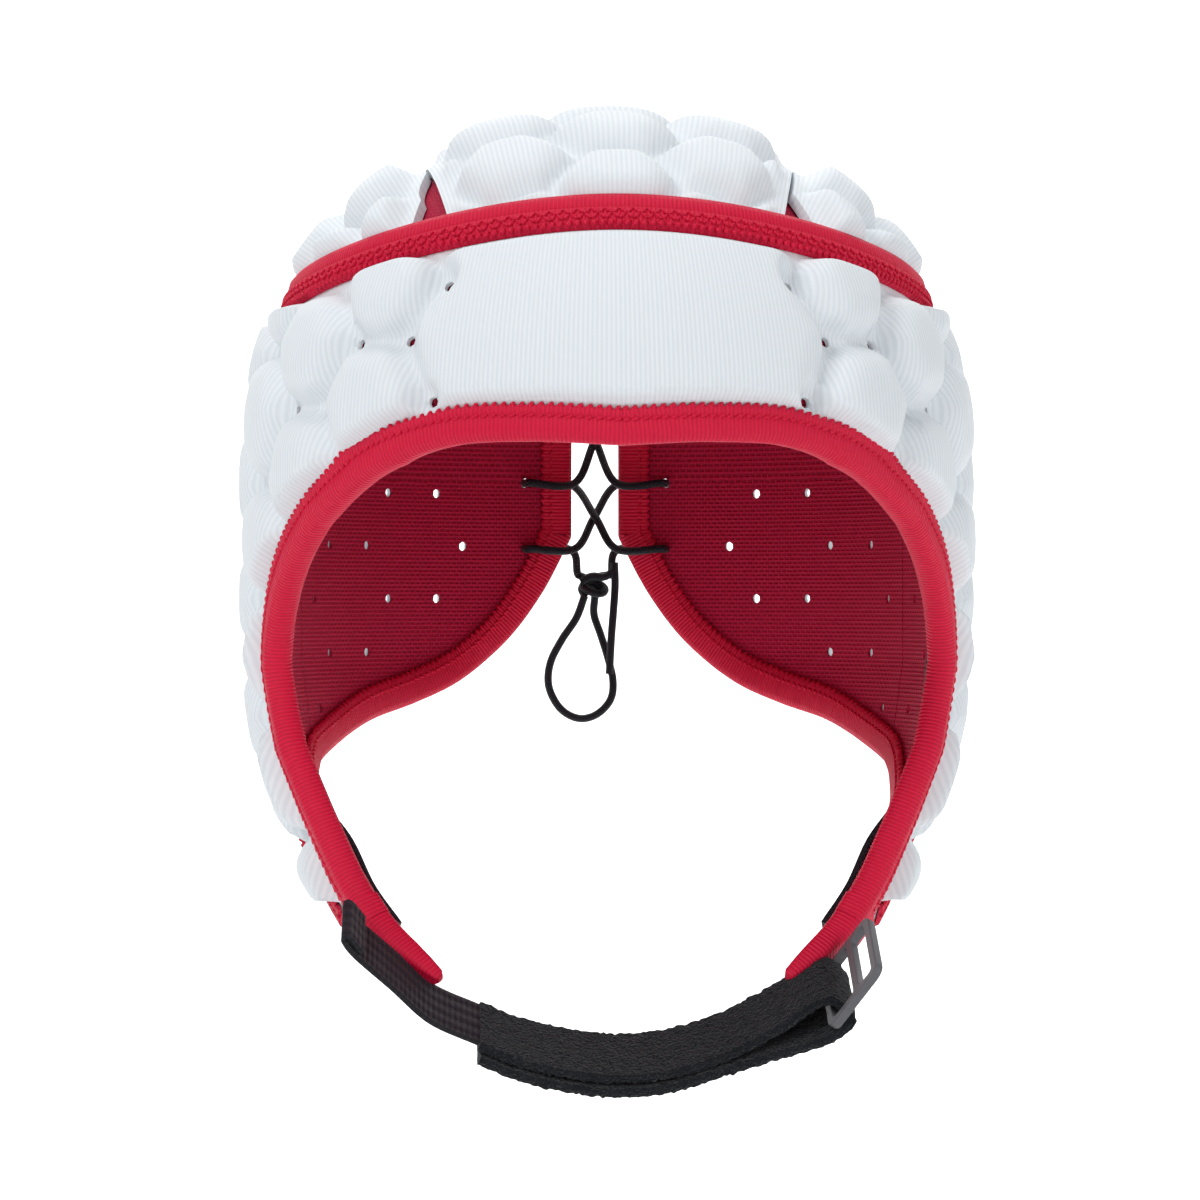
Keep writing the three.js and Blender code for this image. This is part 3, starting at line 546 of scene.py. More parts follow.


# Ribbed or woven cloth with a little fleck, on the piece's own cloth map. Its colour is darker in the rib
# grooves: painted shade.
def clothGroup():
    group = bpy.data.node_groups.new("clothFinish", "ShaderNodeTree")
    face = group.interface
    ribs = {"Ribs across": 900.0, "Ribs down": 900.0, "Rib depth": 0.5, "Fleck": 0.1, "Fleck scale": 420.0}
    for name, value in ribs.items():
        socket = face.new_socket(name, in_out="INPUT", socket_type="NodeSocketFloat")
        socket.default_value = value
    face.new_socket("Colour", in_out="INPUT", socket_type="NodeSocketColor")
    face.new_socket("Dark colour", in_out="INPUT", socket_type="NodeSocketColor")
    face.new_socket("Colour out", in_out="OUTPUT", socket_type="NodeSocketColor")
    face.new_socket("Height", in_out="OUTPUT", socket_type="NodeSocketFloat")
    nodes, links = group.nodes, group.links
    start = nodes.new("NodeGroupInput")
    end = nodes.new("NodeGroupOutput")
    uv = nodes.new("ShaderNodeUVMap")
    uv.uv_map = "cloth"
    split = nodes.new("ShaderNodeSeparateXYZ")
    links.new(uv.outputs["UV"], split.inputs["Vector"])

    def wave(axis, socket):
        scaled = mathNode(group, "MULTIPLY", split.outputs[axis], start.outputs[socket])
        return mathNode(group, "SINE", scaled)

    unit = nodes.new("ShaderNodeMapRange")
    unit.inputs["From Min"].default_value = -2
    unit.inputs["From Max"].default_value = 2
    links.new(mathNode(group, "ADD", wave("X", "Ribs across"), wave("Y", "Ribs down")), unit.inputs["Value"])
    place = nodes.new("ShaderNodeTexCoord")
    noise = nodes.new("ShaderNodeTexNoise")
    noise.inputs["Detail"].default_value = 3
    links.new(start.outputs["Fleck scale"], noise.inputs["Scale"])
    links.new(place.outputs["Object"], noise.inputs["Vector"])
    depth = mathNode(group, "MULTIPLY", unit.outputs[0], start.outputs["Rib depth"])
    fleck = mathNode(group, "MULTIPLY", noise.outputs["Fac"], start.outputs["Fleck"])
    links.new(mathNode(group, "ADD", depth, fleck), end.inputs["Height"])
    # Painted shade: the dark colour fills the rib grooves and the colour the rib tops; without ribs the two
    # blend evenly
    mix = nodes.new("ShaderNodeMix")
    mix.data_type = "RGBA"
    links.new(unit.outputs[0], mix.inputs["Factor"])
    links.new(start.outputs["Dark colour"], mix.inputs["A"])
    links.new(start.outputs["Colour"], mix.inputs["B"])
    links.new(mix.outputs["Result"], end.inputs["Colour out"])
    return group


clothFinish = clothGroup()


# Turns of a rib's wave in each metre of cloth, from its pitch in millimetres
def ribTurns(pitch):
    return 2 * math.pi / (pitch * mm) if pitch else 0


def clothMaterial(name, look):
    material, shader = newMaterial(name, look["colour"], look["roughness"], look["sheen"])
    finish = material.node_tree.nodes.new("ShaderNodeGroup")
    finish.node_tree = clothFinish
    finish.inputs["Ribs across"].default_value = ribTurns(look["acrossPitch"])
    finish.inputs["Ribs down"].default_value = ribTurns(look["downPitch"])
    finish.inputs["Rib depth"].default_value = look["depth"]
    finish.inputs["Fleck"].default_value = look["fleck"]
    finish.inputs["Fleck scale"].default_value = look["fleckScale"]
    finish.inputs["Colour"].default_value = (*look["colour"], 1)
    finish.inputs["Dark colour"].default_value = (*look["dark"], 1)
    bumped(material, shader, finish, look)


# Pitches and bump sizes are in millimetres; a pitch of 0 leaves the ribs out. Each dark colour is painted
# shade in the rib grooves, and is blended evenly in where there are no ribs
finishes = {
    "jersey": {
        "colour": (0.83, 0.86, 0.88), "dark": (0.66, 0.71, 0.75), "roughness": 0.65, "sheen": 0.05,
        "acrossPitch": 1.15, "downPitch": 0, "depth": 1, "fleck": 0.3, "fleckScale": 1200,
        "bump": 0.4, "bumpSize": 0.25,
    },
    "tape": {
        "colour": (0.8, 0.006, 0.055), "dark": (0.48, 0.002, 0.028), "roughness": 0.6, "sheen": 0.0,
        "acrossPitch": 0.95, "downPitch": 0, "depth": 1, "fleck": 0.3, "fleckScale": 1500,
        "bump": 0.9, "bumpSize": 0.35,
    },
    "webbing": {
        "colour": (0.022, 0.019, 0.03), "dark": (0.004, 0.004, 0.006), "roughness": 0.65, "sheen": 0.05,
        "acrossPitch": 1.5, "downPitch": 4.5, "depth": 1, "fleck": 0.5, "fleckScale": 1400,
        "bump": 1.0, "bumpSize": 0.5,
    },
    "fleece": {
        "colour": (0.006, 0.008, 0.013), "dark": (0.002, 0.003, 0.005), "roughness": 0.95, "sheen": 0.12,
        "acrossPitch": 0, "downPitch": 0, "depth": 0, "fleck": 2.0, "fleckScale": 1300,
        "bump": 0.9, "bumpSize": 0.8,
    },
    "elastic": {
        "colour": (0.008, 0.011, 0.018), "dark": (0.003, 0.004, 0.006), "roughness": 0.5, "sheen": 0.1,
        "acrossPitch": 0.9, "downPitch": 0.9, "depth": 1, "fleck": 0.1, "fleckScale": 1500,
        "bump": 0.8, "bumpSize": 0.25,
    },
    "plastic": {
        "colour": (0.13, 0.13, 0.14), "dark": (0.11, 0.11, 0.12), "roughness": 0.4, "sheen": 0.0,
        "acrossPitch": 0, "downPitch": 0, "depth": 0, "fleck": 0.3, "fleckScale": 900,
        "bump": 0.3, "bumpSize": 0.1,
    },
}
for finishName, look in finishes.items():
    clothMaterial(finishName, look)


# Mesh cloth: rows of small dashes pressed into the knit, each row half a step along. Where the pattern lies
# low it takes the dark colour, as painted shade
def meshGroup():
    group = bpy.data.node_groups.new("meshFinish", "ShaderNodeTree")
    face = group.interface
    for name in ("Colour", "Dark colour"):
        face.new_socket(name, in_out="INPUT", socket_type="NodeSocketColor")
    dashSize = face.new_socket("Dash size", in_out="INPUT", socket_type="NodeSocketFloat")
    dashSize.default_value = 300
    face.new_socket("Colour out", in_out="OUTPUT", socket_type="NodeSocketColor")
    face.new_socket("Height", in_out="OUTPUT", socket_type="NodeSocketFloat")
    nodes, links = group.nodes, group.links
    start = nodes.new("NodeGroupInput")
    end = nodes.new("NodeGroupOutput")
    uv = nodes.new("ShaderNodeUVMap")
    uv.uv_map = "cloth"
    bricks = nodes.new("ShaderNodeTexBrick")
    bricks.offset = 0.5
    bricks.inputs["Mortar Size"].default_value = 0.2
    bricks.inputs["Mortar Smooth"].default_value = 0.7
    bricks.inputs["Brick Width"].default_value = 1.0
    bricks.inputs["Row Height"].default_value = 0.55
    links.new(uv.outputs["UV"], bricks.inputs["Vector"])
    links.new(start.outputs["Dash size"], bricks.inputs["Scale"])
    # Painted shade: the dark colour where the pattern lies low
    mix = nodes.new("ShaderNodeMix")
    mix.data_type = "RGBA"
    links.new(bricks.outputs["Fac"], mix.inputs["Factor"])
    links.new(start.outputs["Dark colour"], mix.inputs["A"])
    links.new(start.outputs["Colour"], mix.inputs["B"])
    links.new(mix.outputs["Result"], end.inputs["Colour out"])
    links.new(bricks.outputs["Fac"], end.inputs["Height"])
    return group


# Its dark colour is painted shade in the low lines of the pattern
meshCloth = {"colour": (0.5, 0.005, 0.05), "dark": (0.3, 0.002, 0.026), "roughness": 0.75, "dash": 500,
             "bump": 0.6, "bumpSize": 0.4}


def meshLining():
    material, shader = newMaterial("meshLining", meshCloth["colour"], meshCloth["roughness"])
    finish = material.node_tree.nodes.new("ShaderNodeGroup")
    finish.node_tree = meshGroup()
    finish.inputs["Colour"].default_value = (*meshCloth["colour"], 1)
    finish.inputs["Dark colour"].default_value = (*meshCloth["dark"], 1)
    finish.inputs["Dash size"].default_value = meshCloth["dash"]
    bumped(material, shader, finish, meshCloth)


meshLining()
print("materials made")


# Cords: the lace's points as on the drawing, then its hanging loop and free end
lace = {
    "diameter": 2.2, "sides": 12, "inset": 13, "rows": (0.445, 0.517, 0.586),
    "knotHeight": -109, "knotReach": (4.6, 6, 2),  # how far beside, behind and above it the weave ends
}
endTurn = 180 - math.degrees(math.asin(cap["gapHalf"] / cap["halfWidth"]))
holeTurn = endTurn - math.degrees(lace["inset"] / meanRadius)
cadTapeGap, cadGap = 1.5, 0.35  # room that the drawing leaves under a tape and between touching pieces
laceOut = padBase + cap["edge"] + cadTapeGap + cap["tapeThick"] + lace["diameter"] / 2 + 2 * cadGap
laceIn = -(cadTapeGap + cap["tapeThick"] + lace["diameter"] / 2 + 2 * cadGap)


# Through a hole on each side by turns, crossing over itself in the gap, and down to the knot
def lacePath():
    upper, middle, lower = (drop * edgeLength for drop in lace["rows"])
    past = math.degrees((lace["inset"] + lace["diameter"]) / meanRadius)
    near = math.degrees(0.35 * lace["diameter"] / meanRadius)

    def at(m, side, height, shift=0.0):
        return lifted(side * (holeTurn + shift), m, height)

    def crossing(a, b, side):
        return lifted(180, (a + b) / 2, (laceOut + laceIn) / 2 + side * lace["diameter"] * 0.62)

    def through(m, side, outFirst):
        points = [
            at(m, side, laceOut, past), at(m, side, laceOut, near), at(m, side, laceOut - lace["diameter"]),
            at(m, side, laceIn + lace["diameter"] / 2), at(m, side, laceIn, near), at(m, side, laceIn, past),
        ]
        return points if outFirst else points[::-1]

    beside, behind, above = lace["knotReach"]
    start = np.array([-beside, cap["halfLength"] + behind, lace["knotHeight"] + above])
    return [start, *through(lower, -1, True), crossing(lower, middle, 1), *through(middle, 1, True),
            crossing(middle, upper, 1), *through(upper, -1, True), lifted(180, upper, laceIn),
            *through(upper, 1, False), crossing(middle, upper, -1), *through(middle, -1, False),
            crossing(lower, middle, -1), *through(lower, 1, False), start * [-1, 1, 1]]


loopPoints = [
    (-2.7, 101.6, -112.8), (-5, 102, -119), (-9, 102, -125), (-12.2, 102, -131.5), (-12.6, 102, -138),
    (-9.5, 102, -144), (-4.5, 102, -146.8), (0.5, 102, -145.8), (4.4, 102, -141.8), (5.2, 102.4, -136.5),
    (3.8, 103.4, -130), (1.8, 104.6, -123.5), (0, 104.8, -118), (0.2, 103.6, -113.1),
]
tailPoints = [
    (5.5, 100.2, -103.6), (5.7, 100, -109.6), (5.3, 99.4, -116),
    (4.8, 99.1, -122), (4.4, 99, -128), (4.1, 99, -134.5),
]


# A smooth line through points, as even steps, and how far along it each step lies
def curveThrough(points, step):
    fine = smoothLine(np.asarray(points, float), np.linspace(0, len(points) - 1, len(points) * 12))
    lengths = pathLengths(fine)
    at = np.linspace(0, lengths[-1], max(4, int(lengths[-1] / step)) + 1)
    return np.stack([np.interp(at, lengths, fine[:, c]) for c in range(3)], 1), at


# Round elastic along a route: its body, its path and its length
def cordParts(points):
    path, lengths = curveThrough(points, 0.8)
    along = toUnit(np.gradient(path, axis=0))
    side = toUnit(np.cross(along[0], [0.3, 0.1, 1]))
    sections, uv = [], []
    radius = lace["diameter"] / 2
    turns = np.arange(lace["sides"]) * 2 * math.pi / lace["sides"]
    for k in range(len(path)):
        side = toUnit(side - along[k] * side.dot(along[k]))
        other = np.cross(along[k], side)
        sections.append([path[k] + (side * math.cos(t) + other * math.sin(t)) * radius for t in turns])
        uv.append([(lengths[k] + t * radius, lengths[k] - t * radius) for t in turns])
    return sweepParts(sections, uv), path, lengths[-1]


parts, _, weaveLength = cordParts(lacePath())
ridesFor(meshObject("lace_weave_elastic", *parts, "elastic"), "elastic", "lace_weave")
for name, points, node, far in (("lace_loop_elastic", loopPoints, "lace_loop", "knot"),
                                ("lace_tail_elastic", tailPoints, "lace_tail", "bare")):
    parts, path, length = cordParts(points)
    piece = ridesFor(meshObject(name, *parts, "elastic"), "elastic", node)
print("lace made, weave length", round(weaveLength), "mm")


# The knot: both ends of the weave, the loop's two ends and the tail run through each other
knotStrands = [
    [(-4.6, 102, -107), (-2.6, 103.8, -107.8), (0.6, 104.9, -109), (3, 103.6, -110.8), (2, 101.4, -112.2),
     (-1, 100.7, -111.8), (-3.1, 102, -110.2), (-1.8, 104, -108.6), (1.6, 103.8, -107.4), (4.6, 102, -107)],
    [(-2.7, 101.6, -112.8), (-3.5, 103.4, -110.6), (-1.4, 105, -109.6), (1.2, 104.9, -110.9),
     (0.2, 103.6, -113.1)],
    [(-3.8, 101.2, -109), (-0.8, 101, -107.4), (2.8, 100.6, -107.6), (5.3, 100.2, -105.6),
     (5.5, 100.2, -103.6)],
]
knot = joined("lace_knot_elastic", [cordParts(strand)[0] for strand in knotStrands], "elastic")
ridesFor(knot, "elastic", "lace_knot")


# Grids of the pads, in squares along each stretch; each gives turns and drops for its crossings
padGrids = {
    "front": {"arch": 62, "side": 52, "band": 46, "flap": 76},
    "rear": (68, 66), "crown": (58, 116), "upper": (92, 26),
}
earSeam = 0.12  # degrees between a pad's edge and the seam behind the ear
topSeam = 0.4  # how far the pads on top stop short of the band
# Under the top tape and at the ear seam the cells start sooner than beside the face tape
headStart = {"seam": 5.2, "topTape": 1.1}


def frontShape(detail):
    arch, side, band, flap = (int(count * detail) for count in padGrids["front"].values())
    columns = 2 * (arch + side)
    archEnd = faceArch[-1, 0]

    def place(i, j):
        offset = i - columns // 2
        sign = np.where(offset < 0, -1, 1)
        count = np.abs(offset)
        inArch = (count < arch) | ((count == arch) & (j <= band))
        t = np.clip(count / arch, 0, 1)
        lowTurn, lowM = alongRows(faceArch, t)
        topTurn = archEnd * t
        v = np.clip(j / band, 0, 1)
        archTurn = topTurn + (lowTurn - topTurn) * v
        archM = bandTop(topTurn) + (lowM - bandTop(topTurn)) * v
        s = np.clip((count - arch) / side, 0, 1)
        turn = archEnd + (seamTurn - archEnd) * s
        endM = faceArch[-1, 1] * edgeLength + (flapRear[0, 1] - faceArch[-1, 1]) * edgeLength * s
        upM = bandTop(turn) + (endM - bandTop(turn)) * v
        w = np.clip((j - band) / flap, 0, 1)
        frontTurn, frontM = alongRows(flapFront, w)
        rearTurn = np.interp(w, np.linspace(0, 1, len(flapRear)), flapRear[:, 0])
        rearM = np.interp(w, np.linspace(0, 1, len(flapRear)), flapRear[:, 1]) * edgeLength
        below = j > band
        sideTurn = np.where(below, frontTurn + (rearTurn - frontTurn) * s, turn)
        sideM = np.where(below, frontM + (rearM - frontM) * s, upM)
        outTurn = np.minimum(np.where(inArch, archTurn, sideTurn), seamTurn - earSeam)
        return sign * outTurn, np.where(inArch, archM, sideM)

    def present(i, j):
        return (j < band) | (i < side) | (i >= columns - side)

    def seam(turn, i, j):
        underTape = np.where(j == 0, headStart["topTape"], 0)
        return np.where(np.abs(turn) > seamTurn - 1, headStart["seam"], underTape)

    return {"columns": columns, "rows": band + flap, "place": place, "present": present, "seam": seam}


def rearShape(detail, sign):
    columns, rows = (int(count * detail) for count in padGrids["rear"])

    def place(i, j):
        u, v = i / columns, j / rows
        lowTurn, lowM = alongRows(napeEdge, u)
        topTurn = seamTurn + (endTurn - seamTurn) * u
        turn = np.maximum(topTurn + (lowTurn - topTurn) * v, seamTurn + earSeam)
        return sign * turn, bandTop(topTurn) + 0.3 + (lowM - bandTop(topTurn)) * v

    def seam(turn, i, j):
        return np.where((i == 0) | (j == 0), headStart["seam"], 0)

    return {"columns": columns, "rows": rows, "place": place, "seam": seam}


# Cloth map of the pads on top: straight sideways and frontwards
topMap = {
    "across": lambda turn, m: m * np.sin(np.radians(turn)),
    "down": lambda turn, m: -m * np.cos(np.radians(turn)),
}


def crownShape(detail):
    columns, rows = (int(count * detail) for count in padGrids["crown"])

    # How far forward or back the seam lies, at a distance from the middle, found in a few rounds
    def edgeAt(across, back):
        along = np.full(across.shape, 60.0)
        for _ in range(8):
            turn = np.degrees(np.arctan2(across, along))
            turn = 180 - turn if back else turn
            along = np.sqrt(np.maximum(1, (bandTop(turn) - topSeam) ** 2 - across ** 2))
        return along

    def place(i, j):
        across = cap["crownHalf"] * (2 * i / columns - 1)
        front, back = edgeAt(np.abs(across), False), edgeAt(np.abs(across), True)
        along = -back + (front + back) * (1 - j / rows)
        across = np.where(np.abs(across) < 1e-6, 1e-4, across)
        return np.degrees(np.arctan2(across, along)), np.hypot(across, along)

    return {"columns": columns, "rows": rows, "place": place, **topMap}


# Pads beside the crown: how wide their slots open, and where they begin and end
upper = {"leftSlot": 4.5, "rightSlot": 0.5, "slotRun": (0.02, 0.2), "seam": 0.7, "frontBack": 17,
         "frontTurn": 43, "rearBack": 4, "rearTurnBack": 2.5}


def upperShape(detail, sign):
    columns, rows = (int(count * detail) for count in padGrids["upper"])
    slot = upper["leftSlot"] if sign < 0 else upper["rightSlot"]
    inner = cap["crownHalf"] + upper["seam"]
    front = math.sqrt(bandTopFront ** 2 - inner ** 2) - upper["frontBack"]
    back = -math.sqrt((bandTopSide - upper["rearBack"]) ** 2 - inner ** 2)
    backTurn = 180 - math.degrees(math.atan2(inner, -back)) - upper["rearTurnBack"]

    def place(i, j):
        u, v = i / columns, j / rows
        edgeTurn = upper["frontTurn"] + (backTurn - upper["frontTurn"]) * u
        edgeM = bandTop(edgeTurn) - topSeam
        edge = inner + slot * (1 - smooth(u, *upper["slotRun"]))
        across = edge + (edgeM * np.sin(np.radians(edgeTurn)) - edge) * v
        start = front + (back - front) * u
        along = start + (edgeM * np.cos(np.radians(edgeTurn)) - start) * v
        return sign * np.degrees(np.arctan2(across, along)), np.hypot(across, along)

    return {"columns": columns, "rows": rows, "place": place, **topMap}


detail = 1.0
laceHoles = [(sign * holeTurn, drop * edgeLength) for sign in (1, -1) for drop in lace["rows"]]
vents = []
for place in bandVents():
    if min(np.linalg.norm(seat(*place) - seat(*hole)) for hole in laceHoles) > ventForm["fromLace"]:
        vents.append(place)
topRamp = (1.5, 7)  # the pads on top rise nearer to their seams


def pad(piece, node):
    ridesFor(piece, "jersey", node)
    print(node, "made,", len(piece.data.polygons), "faces")


# A lining rides with the cap in place of its piece of the drawing; its cloth map gives its size laid flat
def lining(piece, node):
    ridesFor(piece, "mesh_lining", node)


pad(gridWall("front_jersey", frontShape(detail), padBase, bandHeight, "jersey", vents), "front_pad")
lining(gridWall("front_mesh", frontShape(detail), 0, cap["lining"], "meshLining", vents, flat=True),
       "front_lining")
firstCell = {"crown": -63.5, "upper": -50}  # how far behind the crown's middle the rows of cells begin
for sign, label in ((1, "right"), (-1, "left")):
    holes = vents + laceHoles
    rear = rearShape(detail, sign)
    pad(gridWall(label + "_rear_jersey", rear, padBase, bandHeight, "jersey", holes,
                 radius=ventForm["rearRadius"]), label + "_rear_pad")
    lining(gridWall(label + "_rear_mesh", rear, 0, cap["lining"], "meshLining", holes, flat=True),
           label + "_rear_lining")
    cells = crownHeight(cap["crownHalf"] + columnStep / 2, firstCell["upper"])
    pad(gridWall(label + "_upper_jersey", upperShape(detail, sign), padBase, cells, "jersey", ramp=topRamp),
        label + "_upper_pad")
cells = crownHeight(0, firstCell["crown"])
pad(gridWall("crown_jersey", crownShape(detail), padBase, cells, "jersey", ramp=topRamp), "crown_pad")


# The lining of the crown is one round piece, ring by ring from the middle
def crownLining():
    turns, rings = 96, 40
    turn = (np.arange(turns) * 360 / turns - 180)[None, :] + np.zeros((rings, 1))
    m = (bandTop(turn) - topSeam) * (np.arange(1, rings + 1) / rings)[:, None]
    points, faces, uv = [], [], []
    for height in (0, cap["lining"]):
        points.append(np.array([[0, 0, height]]))
        points.append(lifted(turn, m, np.full(turn.shape, float(height))).reshape(-1, 3))
        flat = np.stack([m * np.sin(np.radians(turn)), m * np.cos(np.radians(turn))], -1).reshape(-1, 2)
        uv.append(np.concatenate([[[0, 0]], flat]))
    count = 1 + turns * rings
    for base, order in ((0, -1), (count, 1)):
        for k in range(turns):
            n = (k + 1) % turns
            faces.append([base, base + 1 + k, base + 1 + n][::order])
            for r in range(rings - 1):
                a, b = base + 1 + r * turns + k, base + 1 + r * turns + n
                faces.append([a, a + turns, b + turns, b][::order])
    last = 1 + (rings - 1) * turns
    for k in range(turns):
        n = (k + 1) % turns
        faces.append([last + k + count, last + k, last + n, last + n + count])
    return meshObject("crown_mesh", np.concatenate(points), faces, np.concatenate(uv), "meshLining")


lining(crownLining(), "crown_lining")

# Tapes
shares = np.linspace(0, 1, 120)
archTurn, archM = alongRows(faceArch, shares)
flapTurn, flapM = alongRows(flapFront, shares)
halfTurn = np.concatenate([archTurn, flapTurn[1:]])
halfM = np.concatenate([archM, flapM[1:]])
faceTurn = np.concatenate([-halfTurn[:0:-1], halfTurn])
faceM = np.concatenate([halfM[:0:-1], halfM])
foldedTape("face_tape", faceTurn, faceM, 1, ["face_binding"])
napeTurn, napeM = alongRows(napeEdge, shares)
footTurn, footM = flapRear[:3:-1, 0], flapRear[:3:-1, 1] * edgeLength
riseM = np.linspace(napeM[-1], bandTopSide + 5.5, 30)
rearTurn = np.concatenate([footTurn, napeTurn[1:], np.full(29, napeTurn[-1])])
rearM = np.concatenate([footM, napeM[1:], riseM[1:]])
foldedTape("right_rear_tape", rearTurn, rearM, 1, ["right_rear_binding"])
foldedTape("left_rear_tape", -rearTurn, rearM, -1, ["left_rear_binding"])
topTape("top_tape", ["top_binding"])
print("tapes made")


# Straps: they hang in an arc under the flaps, and their lines are shares of its half span and depth
strap = {
    "halfSpan": 53, "depth": 21, "lean": 24, "width": 20, "thick": 2.4, "webWidth": 18, "webThick": 1.4,
    "top": -0.978 * (cap["domeHeight"] + cap["skirt"]), "plane": -0.58 * cap["halfLength"],
}
ring = {"width": 27, "height": 20, "thick": 2.2, "bar": 2.2, "corner": 3, "slotCorner": 1.2, "midBar": 0.5}
strapLine = [
    (-0.62, 0.62), (-0.45, 0.8), (-0.22, 0.94), (0, 1), (0.24, 0.95), (0.5, 0.75), (0.75, 0.42), (0.95, 0.12),
]
webbingLine = [(-1.27, -0.68), (-1.17, -0.37), (-1.01, -0.02), (-0.84, 0.36), (-0.68, 0.54)]
lean = math.radians(strap["lean"])
strapAcross = np.array([0, -math.cos(lean), -math.sin(lean)])


def strapPoint(side, fall, below=0.0):
    return np.array([side * strap["halfSpan"], strap["plane"], strap["top"] - fall * strap["depth"] - below])


# A flat strap along points, with its edges roughened where it has a fuzz
def ribbonParts(points, acrosses, width, thick, fuzz=0.0, steps=14):
    path, lengths = curveThrough(points, 0.7)
    acrosses = np.broadcast_to(np.asarray(acrosses, float), (len(points), 3))
    share = np.linspace(0, len(points) - 1, len(path))
    across = toUnit(np.stack([np.interp(share, np.arange(len(points)), acrosses[:, c]) for c in range(3)], 1))
    along = toUnit(np.gradient(path, axis=0))
    face = toUnit(np.cross(along, across))
    random = np.random.default_rng(7)
    w = np.linspace(-width / 2, width / 2, steps)
    outline = [(x, -thick / 2) for x in w] + [(width / 2 + 0.3, 0)] + [(x, thick / 2) for x in w[::-1]]
    outline.append((-width / 2 - 0.3, 0))
    sections, uv = [], []
    for x, y in outline:
        rough = random.normal(0, fuzz, (len(path), 1)) if fuzz else 0
        edge = random.normal(0, fuzz * 1.4, (len(path), 1)) if fuzz and abs(x) > width / 2 - 0.5 else 0
        sections.append(path + across * (x + edge) + face * (y + rough))
        uv.append(np.stack([lengths, np.full(len(lengths), x + (0 if y < 0 else 40))], -1))
    return sweepParts(np.stack(sections, 1), np.stack(uv, 1))


# Webbing: its top is folded over on itself, its foot is sewn into the fleece
webPoints = [strapPoint(*row) for row in webbingLine]
webPoints[0] = webPoints[0] * 0.55 + webPoints[1] * 0.45
foldIn = np.array([1.3, 0, 0.85])
foldNose = webPoints[0] + (webPoints[0] - webPoints[1]) * 0.22 + foldIn / 2
webTop = [webPoints[1] + foldIn, webPoints[0] + foldIn, foldNose]
webFoot = [strapPoint(-0.63, 0.6), strapPoint(-0.57, 0.67)]
web = ribbonParts(webTop + webPoints[:4] + webFoot, strapAcross, strap["webWidth"], strap["webThick"])
ridesFor(meshObject("left_webbing_strap", *web, "webbing"), "webbing", "left_webbing")

# Fleece: the upper layer goes through the ring, and comes back as the lower one
upperLayer = [strapPoint(*row) for row in strapLine]
foldGap = strap["thick"] + 3 * ring["thick"] + cadGap
closeGap = strap["thick"] + 1
layerGaps = [closeGap + (foldGap - closeGap) * float(smooth(k, 5, 7)) for k in range(len(strapLine))]
lowerLayer = [strapPoint(*row, below=below) for row, below in zip(strapLine, layerGaps)][::-1]
nose = strapPoint(*strapLine[-1], below=foldGap / 2) + [foldGap / 2 + 1.1, 0, 0]
fleecePath = [*upperLayer, nose, *lowerLayer]
fleece = ribbonParts(fleecePath, strapAcross, strap["width"], strap["thick"], fuzz=0.13, steps=28)
ridesFor(meshObject("chin_strap_fleece", *fleece, "fleece"), "fleece", "chin_strap")
band = {"width": 13, "thick": 1.4, "fromTape": 1.5, "tapeStep": 2.85}


# Black band along the inside of a flap, behind the tape
def innerBand(sign):
    inset = cap["tape"] + band["width"] / 2 + band["fromTape"]
    bow = (band["width"] / 2) ** 2 / (2 * cap["halfWidth"])
    points, acrosses = [], []
    for k in range(2, 10):
        p, q, o = flapFront[k], flapFront[min(9, k + 1)], flapFront[k - 1]
        along = toUnit(seat(q[0], q[1] * edgeLength) - seat(o[0], o[1] * edgeLength))
        turn, m = np.array([p[0]]), np.array([p[1] * edgeLength])
        inward = np.cross(outward(turn, m), along[None])
        rear = np.array([np.interp(k / 9, np.linspace(0, 1, 10), flapRear[:, c]) for c in (0, 1)])
        room = float(np.linalg.norm(seat(turn, m)[0] - seat(rear[0], rear[1] * edgeLength))) / 2
        a, b = slid(turn, m, inward * min(inset, room))
        over = float(smooth(inset + cap["tape"] - room, 0, cap["tape"] / 2)) * band["tapeStep"]
        depth = cadGap + over + band["thick"] / 2 + bow
        points.append(lifted(a, b, np.array([-depth]))[0] * [sign, 1, 1])
        normal = outward(a, b)[0]
        across = inward[0] - normal * inward[0].dot(normal)
        acrosses.append(across * [sign, 1, 1])
    return ribbonParts(points, acrosses, band["width"], band["thick"])


# Tongue at the foot of a flap: both tapes run into it, and it narrows towards the strap
tongueRows = [  # turn, drop, width and thickness
    (64.2, 0.928, 13.5, 8.2), (61.3, 0.945, 12.5, 8.0), (57, 0.958, 10.5, 7.2), (52.5, 0.969, 8.5, 6.2),
    (48.5, 0.979, 6.2, 5.0), (45.4, 0.9865, 3.8, 3.6), (44.6, 0.9885, 1.6, 1.8),
]


def tongue(sign):
    rows = np.array(tongueRows)
    fine = np.linspace(0, len(rows) - 1, 60)
    turn, drop, width, thick = (np.interp(fine, np.arange(len(rows)), rows[:, c]) for c in range(4))
    m = drop * edgeLength
    centre = lifted(turn, m, np.full(turn.shape, 1.9))
    along = toUnit(np.gradient(centre, axis=0))
    normal = outward(turn, m)
    across = toUnit(np.cross(normal, along))
    lengths = pathLengths(centre)
    sections, uv = [], []
    for k in range(40):
        spin = 2 * math.pi * k / 40
        x = math.copysign(abs(math.cos(spin)) ** 0.5, math.cos(spin))
        z = math.copysign(abs(math.sin(spin)) ** 0.6, math.sin(spin))
        groove = 0.35 * math.exp(-((x - 0.25) / 0.09) ** 2) + 0.3 * math.exp(-((x + 0.45) / 0.08) ** 2)
        wide = across * (x * width / 2)[:, None]
        high = normal * (z * (thick / 2 - groove))[:, None]
        sections.append((centre + wide + high) * [sign, 1, 1])
        uv.append(np.stack([lengths, x * width / 2 + 20 * (z > 0)], -1))
    return sweepParts(np.stack(sections, 1), np.stack(uv, 1))


